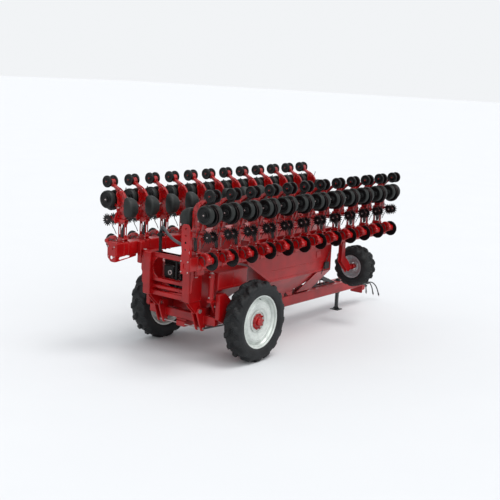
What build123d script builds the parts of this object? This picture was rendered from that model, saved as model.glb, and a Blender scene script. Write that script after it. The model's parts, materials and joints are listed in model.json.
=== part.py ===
"""Folding precision planter, trailed, in its road position.

Millimetres. The model is worked out from the axle: +X is the machine's right side, +Y points forwards
to the drawbar and +Z up, with zero on the ground under the axle. save() then moves every sub-part along
Y, so that the origin of the files lies on the ground at the middle of the machine's length.

A wing is drawn for the right side and mirrored for the left. On a folded wing the direction that is
down to the soil in work points outwards (+X), and the direction that trails in work points up (+Z).
"""

import math
import os

from build123d import *

# ---- driving sizes -------------------------------------------------------------------------------
ROW_PITCH = 700.0  # between two rows
ROWS = 12  # rows on one wing
FIRST_ROW_Y = -1800.0  # the row next to the wing hinge
SOIL_X = 1670.0  # soil line of a folded wing, from the machine's middle

TYRE_R = 950.0  # road tyre over its lugs
TYRE_W = 450.0
TYRE_X = 1445.0  # middle of the road tyre
RIM_R = 610.0
AXLE_Z = TYRE_R

BEAM_W = 400.0  # drawbar beam
BEAM_H = 280.0
BEAM_Z = 560.0  # its underside
BEAM_WALL = 14.0
BEAM_REAR_Y = -950.0
BEAM_FRONT_Y = 6900.0

TOOLBAR_X = 1100.0  # middle of the folded toolbar
TOOLBAR_W = 280.0
TOOLBAR_H = 300.0
TOOLBAR_Z = 2480.0
TOOLBAR_WALL = 12.0
END_GAP = 10.0  # each toolbar stops this short of the machine's middle when it is unfolded
END_PLATE_T = 20.0
END_PLATE_TOP_Z = 3350.0

POST_IN_X = 500.0
POST_OUT_X = 700.0
POST_REAR_Y = -1500.0
POST_FRONT_Y = -1050.0
POST_LOW_Z = 1450.0
POST_TOP_Z = 2450.0
POST_WALL = 15.0

HINGE_X = 780.0  # wing hinge
HINGE_PIN_R = 35.0
HINGE_BARREL_R = 68.0
LUG_T = 55.0
LUG_R = 62.0

TILT_Z = 1200.0  # hinge of the lift frame
TILT_PIN_R = 45.0
TILT_BARREL_R = 80.0

PIN_PLAY = 0.1  # radial play of every pin and axle
SIDE_PLAY = 5.0  # side play beside a barrel

UPPER_LINK_X = 1010.0  # links of a row unit
LOWER_LINK_X = 1190.0
LINK_ROOT_Z = 2700.0
LINK_LENGTH = 360.0
LINK_PIN_R = 14.0
LINK_EYE_R = 24.0
LINK_W = 90.0
LINK_BAR_T = 26.0
EAR_T = 15.0
EAR_PLAY = 2.0

GAUGE_R = 210.0  # gauge wheel
GAUGE_W = 95.0
GAUGE_INNER_Y = 105.0
GAUGE_Z = 3570.0
OPENER_R = 225.0
OPENER_T = 6.0
OPENER_INNER_Y = 30.0
UNIT_AXLE_R = 17.0

CLOSING_R = 140.0
CLOSING_W = 55.0
CLOSING_INNER_Y = 72.0
CLOSING_Z = 3970.0
CLOSING_PIVOT_X = 1150.0
CLOSING_PIVOT_Z = 3740.0
CLOSING_AXLE_R = 12.0

STAR_R = 150.0
STAR_T = 16.0
STAR_Y = 100.0
STAR_Z = 3095.0
STAR_LIFT = 20.0  # the star wheels run this far above the soil line
STAR_TEETH = 12

COULTER_R = 200.0
COULTER_T = 8.0
COULTER_Z = 2560.0
COULTER_DEPTH = 30.0  # below the soil line
COULTER_OFFSET_Y = 60.0

SUPPORT_R = 550.0  # wing support wheel
SUPPORT_W = 480.0
SUPPORT_Y = 4850.0
SUPPORT_Z = 1585.0
SUPPORT_RIM_R = 300.0

TANK_HALF_W = 900.0
TANK_REAR_Y = 330.0
TANK_FRONT_Y = 3960.0
TANK_TOP_Z = 2700.0
TANK_KNEE_Z = 2150.0  # the rear wall starts to slope here
TANK_FOLD_Z = 1590.0  # the side walls start to slope here
TANK_FOLD_Y = 1280.0
TANK_FLOOR_Z = 1000.0
TANK_FLOOR_HALF_W = 330.0
TANK_FLOOR_Y = (1950.0, 2900.0)
TANK_WALL = 5.0

BOX_HALF_W = 1000.0  # rear hopper
BOX_REAR_Y = -850.0
BOX_FRONT_Y = 220.0
BOX_TOP_Z = 2120.0
BOX_FOLD_Z = 1720.0
BOX_FLOOR_Z = 1150.0
BOX_FLOOR_HALF_W = 420.0
BOX_FLOOR_Y = (-520.0, -60.0)

LID_T = 30.0
LID_HINGE_R = 12.0

STAND_Y = 5850.0
STAND_FOOT = 260.0
STAND_FOOT_T = 25.0
STAND_LEG = 80.0
STAND_SLEEVE_WALL = 10.0
STAND_SLEEVE_H = 330.0
SEAT_GAP = 0.3  # sliding pieces and soft seats

EYE_R = 62.0  # tow eye
EYE_HOLE_R = 26.0
EYE_T = 50.0
EYE_Z = 470.0
EYE_Y = 7420.0
SHANK_R = 38.0

FAN_X = -150.0
FAN_Z = 1900.0
FAN_R = 330.0
FAN_REAR_Y = -1035.0
FAN_INLET_R = 190.0
FAN_ROTOR_R = 285.0
FAN_WALL = 10.0
FAN_SHAFT_R = 15.0
FAN_BLADES = 8

HOSE_R = 17.0
HOSE_X = (-130.0, 0.0, 130.0)
GLAND_R = 28.0
GLAND_L = 30.0
COUPLER_R = 24.0

# ---- derived places ------------------------------------------------------------------------------
ROW_Y = [FIRST_ROW_Y + i * ROW_PITCH for i in range(ROWS)]
HINGE_Y = FIRST_ROW_Y + HINGE_X - ROW_PITCH / 2  # rows keep their pitch across the middle
TILT_Y = HINGE_Y - (SOIL_X - HINGE_X) + TILT_Z  # the soil line lands on the ground at a full tilt
TOOLBAR_REAR_Y = FIRST_ROW_Y - ROW_PITCH / 2 + END_GAP + END_PLATE_T
TOOLBAR_FRONT_Y = ROW_Y[-1] + ROW_PITCH / 2
TOOLBAR_IN_X = TOOLBAR_X - TOOLBAR_W / 2
TOOLBAR_OUT_X = TOOLBAR_X + TOOLBAR_W / 2
TOOLBAR_LOW_Z = TOOLBAR_Z - TOOLBAR_H / 2
TOOLBAR_TOP_Z = TOOLBAR_Z + TOOLBAR_H / 2
LINK_END_Z = LINK_ROOT_Z + LINK_LENGTH
GAUGE_X = SOIL_X - GAUGE_R
CLOSING_X = SOIL_X - CLOSING_R
STAR_X = SOIL_X - STAR_R - STAR_LIFT
COULTER_X = SOIL_X + COULTER_DEPTH - COULTER_R
SUPPORT_X = SOIL_X - SUPPORT_R
BEAM_TOP_Z = BEAM_Z + BEAM_H
FRONT_REACH = EYE_Y + EYE_R
REAR_REACH = -(TOOLBAR_REAR_Y - END_PLATE_T)
SHIFT_Y = -(FRONT_REACH - REAR_REACH) / 2  # axle to origin


# ---- helpers -------------------------------------------------------------------------------------
def box(x0, x1, y0, y1, z0, z1):
    """A block between two corners."""
    return Pos((x0 + x1) / 2, (y0 + y1) / 2, (z0 + z1) / 2) * Box(x1 - x0, y1 - y0, z1 - z0)


def rod_x(r, x0, x1, y, z):
    return Pos((x0 + x1) / 2, y, z) * Rot(0, 90, 0) * Cylinder(r, x1 - x0)


def rod_y(r, y0, y1, x, z):
    return Pos(x, (y0 + y1) / 2, z) * Rot(90, 0, 0) * Cylinder(r, y1 - y0)


def rod_z(r, z0, z1, x, y):
    return Pos(x, y, (z0 + z1) / 2) * Cylinder(r, z1 - z0)


def outline(plane, points, height):
    """A flat outline on a plane, thickened along the plane's normal."""
    return extrude(plane * make_face(Polyline(*points, close=True)), height)


def plate_xz(points, y0, y1):
    """An outline of (x, z) points between two Y places."""
    return outline(Plane(origin=(0, y1, 0), x_dir=(1, 0, 0), z_dir=(0, -1, 0)), points, y1 - y0)


def plate_yz(points, x0, x1):
    """An outline of (y, z) points between two X places."""
    return outline(Plane(origin=(x0, 0, 0), x_dir=(0, 1, 0), z_dir=(1, 0, 0)), points, x1 - x0)


def plate_xy(points, z0, z1):
    """An outline of (x, y) points between two Z places."""
    return outline(Plane(origin=(0, 0, z0)), points, z1 - z0)


def bar_xz(r, a, b, y0, y1):
    """A bar with round ends of radius r from a to b, both (x, z)."""
    dx, dz = b[0] - a[0], b[1] - a[1]
    n = math.hypot(dx, dz)
    ox, oz = -dz / n * r, dx / n * r
    corners = [(a[0] + ox, a[1] + oz), (b[0] + ox, b[1] + oz), (b[0] - ox, b[1] - oz), (a[0] - ox, a[1] - oz)]
    return plate_xz(corners, y0, y1) + rod_y(r, y0, y1, *a) + rod_y(r, y0, y1, *b)


def ring_y(r_out, r_in, y0, y1, x, z):
    return rod_y(r_out, y0, y1, x, z) - rod_y(r_in, y0 - 1, y1 + 1, x, z)


def both_sides(shape):
    """The shape and its mirror image on the machine's other side."""
    return [shape, mirror(shape, about=Plane.YZ)]


def panel(quad_low, quad_high, z_low, z_high):
    """A flat sheet between two level outlines of (x, y) points."""
    low = Plane(origin=(0, 0, z_low)) * make_face(Polyline(*quad_low, close=True))
    high = Plane(origin=(0, 0, z_high)) * make_face(Polyline(*quad_high, close=True))
    return loft([low, high], ruled=True)


def hopper_walls(rings, wall):
    """Mitred side sheets through level rings (half width, rear y, front y, z), from the floor up."""
    sheets = []
    for low, high in zip(rings, rings[1:]):
        quads = []
        for w, a, b, _ in (low, high):
            outer = [(w, a), (w, b), (-w, b), (-w, a)]
            inner = [(w - wall, a + wall), (w - wall, b - wall), (-w + wall, b - wall), (-w + wall, a + wall)]
            quads.append([(outer[k], outer[(k + 1) % 4], inner[(k + 1) % 4], inner[k]) for k in range(4)])
        for quad_low, quad_high in zip(*quads):
            sheets.append(panel(quad_low, quad_high, low[3], high[3]))
    return sheets


def tube(x0, x1, y0, y1, z0, z1, wall, ends):
    """A closed box tube whose walls have one thickness; ends is the thickness of its end plates along X or Y."""
    inset_x = ends if x1 - x0 > y1 - y0 else wall
    inset_y = wall if x1 - x0 > y1 - y0 else ends
    hollow = box(x0 + inset_x, x1 - inset_x, y0 + inset_y, y1 - inset_y, z0 + wall, z1 - wall)
    return box(x0, x1, y0, y1, z0, z1) - hollow


def save(name, shapes):
    """Writes one sub-part, moved so that the origin is at the middle of the machine's length."""
    solids = []
    for shape in shapes:
        solids += list(shape.solids())
    moved = [Pos(0, SHIFT_Y, 0) * s for s in solids]
    whole = moved[0] if len(moved) == 1 else Compound(children=moved)
    export_step(whole, f"parts/{name}.step")


# ---- road wheels ---------------------------------------------------------------------------------
HUB_R = 150.0
HUB_FLANGE_R = 230.0
HUB_CAP_R = 95.0
HUB_X = 1500.0  # flange face, where the wheel disc is bolted
STUB_R = 55.0
RIM_T = 14.0
BEAD = 60.0  # the rim is this much narrower than the tyre on each side
WHEEL_BOLTS = 10
BOLT_CIRCLE_R = 195.0
BOLT_R = 15.0
DISC_T = 20.0


def lathe_x(points):
    """Turns (radius, x) points about the axle."""
    face = make_face(Polyline(*[(x, r) for r, x in points], close=True))
    return Pos(0, 0, AXLE_Z) * revolve(Plane.XZ * face, Axis.X)


def road_tyre():
    """Tyre carcass, hollow and open towards the rim."""
    inner, outer = TYRE_X - TYRE_W / 2, TYRE_X + TYRE_W / 2
    shoulder, flank, crown, side, tread = 70.0, 90.0, 45.0, 30.0, 60.0
    return lathe_x(
        [
            (RIM_R, inner + BEAD),
            (RIM_R + flank, inner),
            (TYRE_R - shoulder, inner),
            (TYRE_R, inner + crown),
            (TYRE_R, outer - crown),
            (TYRE_R - shoulder, outer),
            (RIM_R + flank, outer),
            (RIM_R, outer - BEAD),
            (RIM_R, outer - BEAD - side),
            (RIM_R + flank, outer - side),
            (TYRE_R - tread, outer - side),
            (TYRE_R - tread, inner + side),
            (RIM_R + flank, inner + side),
            (RIM_R, inner + BEAD + side),
        ]
    )


def road_rim():
    """Rim barrel with a dished disc that is bolted to the hub flange."""
    inner, outer = TYRE_X - TYRE_W / 2 + BEAD, TYRE_X + TYRE_W / 2 - BEAD
    barrel = lathe_x([(RIM_R, inner), (RIM_R, outer), (RIM_R - RIM_T, outer), (RIM_R - RIM_T, inner)])
    dish = 60.0  # the disc bulges outwards between the hub and the barrel
    bulge_r = RIM_R - 130.0
    disc = lathe_x(
        [
            (HUB_R, HUB_X),
            (HUB_R, HUB_X + DISC_T),
            (HUB_FLANGE_R + 10, HUB_X + DISC_T),
            (bulge_r, HUB_X + dish + DISC_T),
            (RIM_R - RIM_T / 2, HUB_X + dish / 2 + DISC_T),
            (RIM_R - RIM_T / 2, HUB_X + dish / 2),
            (bulge_r, HUB_X + dish),
            (HUB_FLANGE_R + 10, HUB_X),
        ]
    )
    return barrel + disc


def road_hub():
    """Cast hub with its flange, cap and wheel nuts, turning on the stub axle."""
    body = rod_x(HUB_R, HUB_X - 120, HUB_X + 60, 0, AXLE_Z)
    body += rod_x(HUB_FLANGE_R, HUB_X - 25, HUB_X, 0, AXLE_Z)
    body += rod_x(HUB_CAP_R, HUB_X + 60, HUB_X + 120, 0, AXLE_Z)
    body -= rod_x(STUB_R + PIN_PLAY, HUB_X - 121, HUB_X + 80, 0, AXLE_Z)
    nuts = []
    for k in range(WHEEL_BOLTS):
        a = 2 * math.pi * k / WHEEL_BOLTS
        y, z = BOLT_CIRCLE_R * math.cos(a), AXLE_Z + BOLT_CIRCLE_R * math.sin(a)
        nuts.append(rod_x(BOLT_R, HUB_X + DISC_T, HUB_X + DISC_T + 30, y, z))
    return [body] + nuts


# ---- chassis -------------------------------------------------------------------------------------
LEG_IN_X = 530.0  # feet of the lift frame, between the chassis ears
LEG_OUT_X = 630.0
EAR_PLATE_T = 40.0
BRACKET_IN_X = 1000.0  # side brackets that carry the stub axles
BRACKET_OUT_X = 1120.0
BRACKET_WALL = 12.0
AXLE_BOX = 220.0
AXLE_WALL = 16.0
REAR_BEAM_Y = (-920.0, -780.0)
REAR_BEAM_Z = (880.0, 1080.0)
SHELF_TOP_Z = 1500.0
STAND_SLEEVE_OUT = STAND_LEG + 2 * (SEAT_GAP + STAND_SLEEVE_WALL)


def tilt_ears():
    """Pair of ears with the pins of the lift frame and of its cylinders, right side."""
    outline_yz = [
        (TILT_Y - 95, TILT_Z - 40),
        (TILT_Y - 60, TILT_Z + 75),
        (TILT_Y + 60, TILT_Z + 75),
        (-840, TILT_Z + 40),
        (-800, 900),
        (-880, 720),
        (-980, 720),
        (-1060, 900),
    ]
    inner_x = LEG_IN_X - SIDE_PLAY - EAR_PLATE_T
    outer_x = LEG_OUT_X + SIDE_PLAY + EAR_PLATE_T
    return [
        plate_yz(outline_yz, inner_x, inner_x + EAR_PLATE_T) - rear_beam_space(),
        plate_yz(outline_yz, outer_x - EAR_PLATE_T, outer_x) - rear_beam_space(),
        rod_x(TILT_PIN_R, inner_x + EAR_PLATE_T, outer_x - EAR_PLATE_T, TILT_Y, TILT_Z),
        rod_x(28, inner_x + EAR_PLATE_T, outer_x - EAR_PLATE_T, -930, 770),
    ]


def rear_beam_space():
    return box(-BRACKET_IN_X, BRACKET_IN_X, *REAR_BEAM_Y, *REAR_BEAM_Z)


def side_bracket():
    """Hollow bracket between the rear cross beam and the axle, with the shelf of a lift cylinder."""
    points = [(-920, 1640), (-700, 1640), (-480, 1440), (160, 1060), (160, 840), (-500, 840), (-920, 1040)]
    wall = BRACKET_WALL
    bracket = plate_yz(points, BRACKET_IN_X, BRACKET_OUT_X)
    inset = offset(Plane.YZ * make_face(Polyline(*points, close=True)), -wall, kind=Kind.INTERSECTION)
    bracket -= Pos(BRACKET_IN_X + wall, 0, 0) * extrude(inset, BRACKET_OUT_X - BRACKET_IN_X - 2 * wall)
    shelf = box(860, BRACKET_IN_X, -1070, -900, SHELF_TOP_Z - 60, SHELF_TOP_Z)
    return [bracket, shelf]


def chassis_frame():
    """Drawbar beam, rear cross beam, side brackets and ears, welded to each other."""
    drawbar = tube(-BEAM_W / 2, BEAM_W / 2, BEAM_REAR_Y, BEAM_FRONT_Y, BEAM_Z, BEAM_TOP_Z, BEAM_WALL, BEAM_WALL)
    s = STAND_SLEEVE_OUT / 2
    drawbar -= box(-s, s, STAND_Y - s, STAND_Y + s, BEAM_Z - 1, BEAM_TOP_Z + 1)
    riser = box(-BEAM_W / 2, BEAM_W / 2, *REAR_BEAM_Y, BEAM_TOP_Z, REAR_BEAM_Z[0])
    cross = tube(-BRACKET_IN_X, BRACKET_IN_X, *REAR_BEAM_Y, *REAR_BEAM_Z, BRACKET_WALL, BRACKET_WALL)
    pieces = [drawbar, riser, cross]
    for part in tilt_ears() + side_bracket():
        pieces += both_sides(part)
    return pieces


def axle_beam():
    """Cross tube between the side brackets, and the two stub axles."""
    half = AXLE_BOX / 2
    top = BEAM_TOP_Z + AXLE_BOX
    cross = tube(-BRACKET_IN_X, BRACKET_IN_X, -half, half, BEAM_TOP_Z, top, AXLE_WALL, AXLE_WALL)
    stub = rod_x(STUB_R, BRACKET_OUT_X, HUB_X + 75, 0, AXLE_Z)
    stub += rod_x(110, BRACKET_OUT_X, BRACKET_OUT_X + 30, 0, AXLE_Z)
    return [cross] + both_sides(stub)


def lift_cylinders():
    """Upright cylinders with their caps, on the shelves of the side brackets."""
    x, y = 930.0, -1000.0
    barrel = rod_z(62, SHELF_TOP_Z, 2080, x, y)
    barrel += rod_z(70, 2080, 2110, x, y)
    cap = rod_z(45, 2110, 2135, x, y)
    return both_sides(barrel) + both_sides(cap)


def hitch_head():
    """Bolted front piece of the drawbar with the bore of the tow eye's shank."""
    z = EYE_Z
    flange = box(-200, 200, BEAM_FRONT_Y, BEAM_FRONT_Y + 30, 350, BEAM_TOP_Z)
    body = plate_yz(
        [(BEAM_FRONT_Y + 30, z - 90), (7240, z - 70), (7240, z + 70), (BEAM_FRONT_Y + 30, BEAM_TOP_Z - 60)],
        -95,
        95,
    )
    bore = rod_y(SHANK_R + PIN_PLAY, BEAM_FRONT_Y + 120, 7241, 0, z)
    return (flange + body) - bore


def tow_eye():
    """Ring with an upright hole on a shank that turns in the hitch head."""
    collar_y = 7240 + SEAT_GAP
    eye = rod_z(EYE_R, EYE_Z - EYE_T / 2, EYE_Z + EYE_T / 2, 0, EYE_Y)
    eye += rod_y(SHANK_R, BEAM_FRONT_Y + 125, EYE_Y - EYE_HOLE_R - 10, 0, EYE_Z)
    eye += rod_y(60, collar_y, collar_y + 30, 0, EYE_Z)
    return eye - rod_z(EYE_HOLE_R, EYE_Z - EYE_R, EYE_Z + EYE_R, 0, EYE_Y)


def stand_sleeve():
    half_in, half_out = STAND_LEG / 2 + SEAT_GAP, STAND_SLEEVE_OUT / 2
    low, high = BEAM_Z - 90, BEAM_TOP_Z + 60
    sleeve = box(-half_out, half_out, STAND_Y - half_out, STAND_Y + half_out, low, high)
    rim = half_out + 40
    sleeve += box(-rim, rim, STAND_Y - rim, STAND_Y + rim, BEAM_TOP_Z, BEAM_TOP_Z + 15)
    return sleeve - box(-half_in, half_in, STAND_Y - half_in, STAND_Y + half_in, low - 1, high + 1)


def stand_leg():
    half, foot = STAND_LEG / 2, STAND_FOOT / 2
    leg = box(-half, half, STAND_Y - half, STAND_Y + half, STAND_FOOT_T, BEAM_TOP_Z - 20)
    return leg + box(-foot, foot, STAND_Y - foot, STAND_Y + foot, 0, STAND_FOOT_T)


RACK_Y = (7250.0, 7310.0)
RACK_Z = 600.0
RACK_HALF_W = 190.0


def drawbar_brackets():
    """Hose rack in front of the hitch flange, and the two A-shaped steps on the beam."""
    arm = box(RACK_HALF_W - 30, RACK_HALF_W, BEAM_FRONT_Y + 30, RACK_Y[0], RACK_Z - 25, RACK_Z + 25)
    bar = box(-RACK_HALF_W, RACK_HALF_W, *RACK_Y, RACK_Z - 35, RACK_Z + 35)
    glands = [rod_y(GLAND_R, RACK_Y[1], RACK_Y[1] + GLAND_L, x, RACK_Z) for x in HOSE_X]
    outer = [(4400, BEAM_TOP_Z), (5600, BEAM_TOP_Z), (5480, 900), (4860, 1140), (4760, 1140)]
    inner = [(4560, 880), (5300, 880), (4850, 1060), (4800, 1060)]
    step = plate_yz(outer, 60, 75) - plate_yz(inner, 59, 76)
    return [bar] + glands + both_sides(arm) + both_sides(step)


# ---- hoppers and lids ----------------------------------------------------------------------------
TANK_RINGS = [
    (TANK_FLOOR_HALF_W, *TANK_FLOOR_Y, TANK_FLOOR_Z),
    (TANK_HALF_W, TANK_FOLD_Y, TANK_FRONT_Y, TANK_FOLD_Z),
    (TANK_HALF_W, TANK_REAR_Y, TANK_FRONT_Y, TANK_KNEE_Z),
    (TANK_HALF_W, TANK_REAR_Y, TANK_FRONT_Y, TANK_TOP_Z),
]
BOX_RINGS = [
    (BOX_FLOOR_HALF_W, *BOX_FLOOR_Y, BOX_FLOOR_Z),
    (BOX_HALF_W, BOX_REAR_Y, BOX_FRONT_Y, BOX_FOLD_Z),
    (BOX_HALF_W, BOX_REAR_Y, BOX_FRONT_Y, BOX_TOP_Z),
]
TANK_HATCH = (420.0, 1100.0, 3200.0)  # half width, rear y, front y
BOX_HATCH = (520.0, -700.0, -120.0)
PLATE_T = 16.0
NECK_H = 30.0
LID_RIM = 40.0
LID_SHEET = 6.0
SKIRT_T = 6.0
SKIRT_H = 20.0
LID_BARREL_R = 22.0
LID_BARREL_L = 120.0


def lid_hinge(hatch, top):
    """Place (x, z) of a lid hinge, and the Y spans of its two barrels."""
    half, rear, front = hatch
    spans = [(rear + 40, rear + 40 + LID_BARREL_L), (front - 40 - LID_BARREL_L, front - 40)]
    return -half - LID_RIM - LID_BARREL_R - 3, top + NECK_H + SEAT_GAP + LID_SHEET / 2, spans


def tank(rings, wall, hatch):
    """Sheet hopper, its roof strips round the hatch, the hatch neck and the lid's ears and pins."""
    top = rings[-1][3]
    width, rear, front, _ = rings[-1]
    width, rear, front = width - wall, rear + wall, front - wall
    half, y0, y1 = hatch
    low = rings[0]
    x, z, spans = lid_hinge(hatch, top)
    side = box(-width, -half, rear, front, top - wall, top)
    side += box(-half - wall, -half, y0, y1, top, top + NECK_H)
    for a, b in spans:
        for y in (a - EAR_PLAY - EAR_T, b + EAR_PLAY):
            side += box(x - LID_BARREL_R, x + LID_BARREL_R, y, y + EAR_T, top, z)
            side += rod_y(LID_BARREL_R, y, y + EAR_T, x, z)
        side += rod_y(LID_HINGE_R, a - EAR_PLAY - 1, b + EAR_PLAY + 1, x, z)
    far_side = box(half, width, rear, front, top - wall, top)
    far_side += box(half, half + wall, y0, y1, top, top + NECK_H)
    pieces = hopper_walls(rings, wall) + [side, far_side]
    pieces.append(box(-low[0] + wall, low[0] - wall, low[1] + wall, low[2] - wall, low[3], low[3] + wall))
    for roof_y, neck_y in (((rear, y0), (y0 - wall, y0)), ((y1, front), (y1, y1 + wall))):
        strip = box(-half, half, *roof_y, top - wall, top)
        pieces.append(strip + box(-half, half, *neck_y, top, top + NECK_H))
    return pieces


def lid(hatch, top):
    """Sheet cover with a skirt round the hatch neck, two ribs, a handle and its hinge barrels."""
    half, y0, y1 = hatch
    w, a, b = half + LID_RIM, y0 - LID_RIM, y1 + LID_RIM
    deck = top + NECK_H + SEAT_GAP
    cover = box(-w, w, a, b, deck, deck + LID_SHEET)
    skirt = box(-w, w, a, b, deck - SKIRT_H, deck)
    skirt -= box(-w + SKIRT_T, w - SKIRT_T, a + SKIRT_T, b - SKIRT_T, deck - SKIRT_H - 1, deck)
    cover += skirt
    for y in (y0 + 150, y1 - 150):
        cover += box(-half + 60, half - 60, y - 20, y + 20, deck + LID_SHEET, deck + 30)
    mid = (y0 + y1) / 2
    cover += rod_y(10, mid - 120, mid + 120, half - 40, deck + 60)
    for y in (mid - 110, mid + 110):
        cover += rod_z(8, deck + LID_SHEET, deck + 60, half - 40, y)
    x, z, spans = lid_hinge(hatch, top)
    for s, e in spans:
        cover += box(x, -w + 1, s, e, deck, deck + LID_SHEET)
        cover += rod_y(LID_BARREL_R, s, e, x, z)
        cover -= rod_y(LID_HINGE_R + PIN_PLAY, s - 1, e + 1, x, z)
    return cover


def tank_cradle():
    """Saddles between the drawbar beam and both hoppers."""
    half = BEAM_W / 2
    base = tube(-half, half, *TANK_FLOOR_Y, BEAM_TOP_Z, TANK_FLOOR_Z, BRACKET_WALL, BRACKET_WALL)
    rear_y = (BOX_FLOOR_Y[0] + 60, -AXLE_BOX / 2 - 40)
    rear = tube(-half, half, *rear_y, BEAM_TOP_Z, BOX_FLOOR_Z, BRACKET_WALL, BRACKET_WALL)
    foot, knee = (300, 930), (TANK_HALF_W, TANK_FOLD_Z - 20)
    edge = [(half, BEAM_TOP_Z), foot, knee, (TANK_HALF_W, TANK_FOLD_Z + 160)]
    plate = edge + [(-x, z) for x, z in reversed(edge)]
    front = plate_xz(plate, TANK_FRONT_Y, TANK_FRONT_Y + PLATE_T)
    strip = [foot, (foot[0] + 20, foot[1]), (knee[0] + 20, knee[1]), knee]
    slope = plate_xz(strip, TANK_FRONT_Y - 660, TANK_FRONT_Y)
    return [base, rear, front] + both_sides(slope)


def fan_housing():
    """Volute on the rear hopper's back wall, open at its inlet and at its upright outlet."""
    front = BOX_REAR_Y
    body = rod_y(FAN_R, FAN_REAR_Y, front, FAN_X, FAN_Z)
    duct = box(FAN_X - FAN_R, FAN_X - 80, FAN_REAR_Y + 20, front, FAN_Z, FAN_Z + 330)
    body += duct
    wall = FAN_WALL
    body -= rod_y(FAN_R - wall, FAN_REAR_Y + wall, front - wall, FAN_X, FAN_Z)
    body -= box(FAN_X - FAN_R + wall, FAN_X - 80 - wall, FAN_REAR_Y + 30, front - wall, FAN_Z, FAN_Z + 331)
    body -= rod_y(FAN_INLET_R, FAN_REAR_Y - 1, FAN_REAR_Y + wall + 1, FAN_X, FAN_Z)
    boss = rod_y(40, front - 55, front, FAN_X, FAN_Z)
    return (body + boss) - rod_y(FAN_SHAFT_R + PIN_PLAY, front - 56, front - 5, FAN_X, FAN_Z)


def fan_rotor():
    front, rear = BOX_REAR_Y - 60, FAN_REAR_Y + 25
    rotor = rod_y(FAN_ROTOR_R, front - 8, front, FAN_X, FAN_Z)
    rotor += rod_y(60, rear, front, FAN_X, FAN_Z)
    rotor += rod_y(FAN_SHAFT_R, front, BOX_REAR_Y - 8, FAN_X, FAN_Z)
    for k in range(FAN_BLADES):
        blade = box(50, FAN_ROTOR_R - 3, rear, front - 8, -4, 4)
        rotor += Pos(FAN_X, 0, FAN_Z) * Rot(0, 360 * k / FAN_BLADES, 0) * blade
    return rotor


# ---- lift frame ----------------------------------------------------------------------------------
HINGE_LOW_Z = 2060.0
CROSS_Y = (-1400.0, -1240.0)


def post_side():
    """One box post with its foot, its tilt barrel and the lugs and pin of the wing hinge."""
    post = box(POST_IN_X, POST_OUT_X, POST_REAR_Y, POST_FRONT_Y, POST_LOW_Z, POST_TOP_Z)
    wall = POST_WALL
    post -= box(
        POST_IN_X + wall,
        POST_OUT_X - wall,
        POST_REAR_Y + wall,
        POST_FRONT_Y - wall,
        POST_LOW_Z + wall,
        POST_TOP_Z - wall,
    )
    r = TILT_BARREL_R
    outline_yz = [
        (TILT_Y - r, TILT_Z),
        (TILT_Y + r, TILT_Z),
        (POST_FRONT_Y, POST_LOW_Z),
        (POST_REAR_Y + 60, POST_LOW_Z),
    ]
    foot = plate_yz(outline_yz, LEG_IN_X, LEG_OUT_X) + rod_x(r, LEG_IN_X, LEG_OUT_X, TILT_Y, TILT_Z)
    foot -= rod_x(TILT_PIN_R + PIN_PLAY, LEG_IN_X - 1, LEG_OUT_X + 1, TILT_Y, TILT_Z)
    pieces = [post, foot]
    lugs = ((HINGE_LOW_Z, -15), (POST_TOP_Z - LUG_T, LUG_T))
    for z, pin_head in lugs:
        lug = box(POST_OUT_X, HINGE_X, HINGE_Y - LUG_R, HINGE_Y + LUG_R, z, z + LUG_T)
        lug += rod_z(LUG_R, z, z + LUG_T, HINGE_X, HINGE_Y)
        pieces.append(lug + rod_z(HINGE_PIN_R + 10, z + pin_head, z + pin_head + 15, HINGE_X, HINGE_Y))
    pieces.append(rod_z(HINGE_PIN_R, HINGE_LOW_Z + LUG_T, POST_TOP_Z - LUG_T, HINGE_X, HINGE_Y))
    return pieces


def lift_frame():
    """Both posts and the cross members between them."""
    pieces = [
        box(-POST_IN_X, POST_IN_X, *CROSS_Y, POST_LOW_Z, POST_LOW_Z + 110),
        rod_x(45, -POST_IN_X, POST_IN_X, -1330, 1650),
        box(-POST_IN_X, POST_IN_X, *CROSS_Y, 1780, 1860),
        box(-POST_IN_X, POST_IN_X, *CROSS_Y, POST_TOP_Z - 120, POST_TOP_Z),
    ]
    for piece in post_side():
        pieces += both_sides(piece)
    return pieces


MANIFOLD_X = 360.0
MANIFOLD_Y = -1320.0
MANIFOLD_Z = (POST_TOP_Z, 2900.0)


def manifold():
    """Two seed distributor heads on the top cross member, with ring outlets."""
    head = rod_z(32, MANIFOLD_Z[0], MANIFOLD_Z[1] - 90, MANIFOLD_X, MANIFOLD_Y)
    head += rod_z(75, MANIFOLD_Z[1] - 90, MANIFOLD_Z[1], MANIFOLD_X, MANIFOLD_Y)
    head += rod_z(50, MANIFOLD_Z[0], MANIFOLD_Z[0] + 20, MANIFOLD_X, MANIFOLD_Y)
    return both_sides(head)


# ---- wings ---------------------------------------------------------------------------------------
ARM_HALF_W = 75.0
ARM_ROOT_X = HINGE_X + LUG_R + 8


def at_rows(piece):
    """Copies of a row's piece, which is drawn at y = 0, at every row of the wing."""
    return [Pos(0, y, 0) * piece for y in ROW_Y]


def link_ears(root_z, base_z):
    """Ear pair with both link pins; base_z is the face that the ears stand on."""
    r = LINK_EYE_R
    inner = LINK_W / 2 + EAR_PLAY
    low, high = min(root_z - r, base_z), max(root_z + r, base_z)
    ears = None
    for y in (inner, -inner - EAR_T):
        plate = box(UPPER_LINK_X - r, LOWER_LINK_X + r, y, y + EAR_T, low, high)
        ears = plate if ears is None else ears + plate
    for x in (UPPER_LINK_X, LOWER_LINK_X):
        ears += rod_y(LINK_PIN_R, -inner - 1, inner + 1, x, root_z)
    return ears


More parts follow.
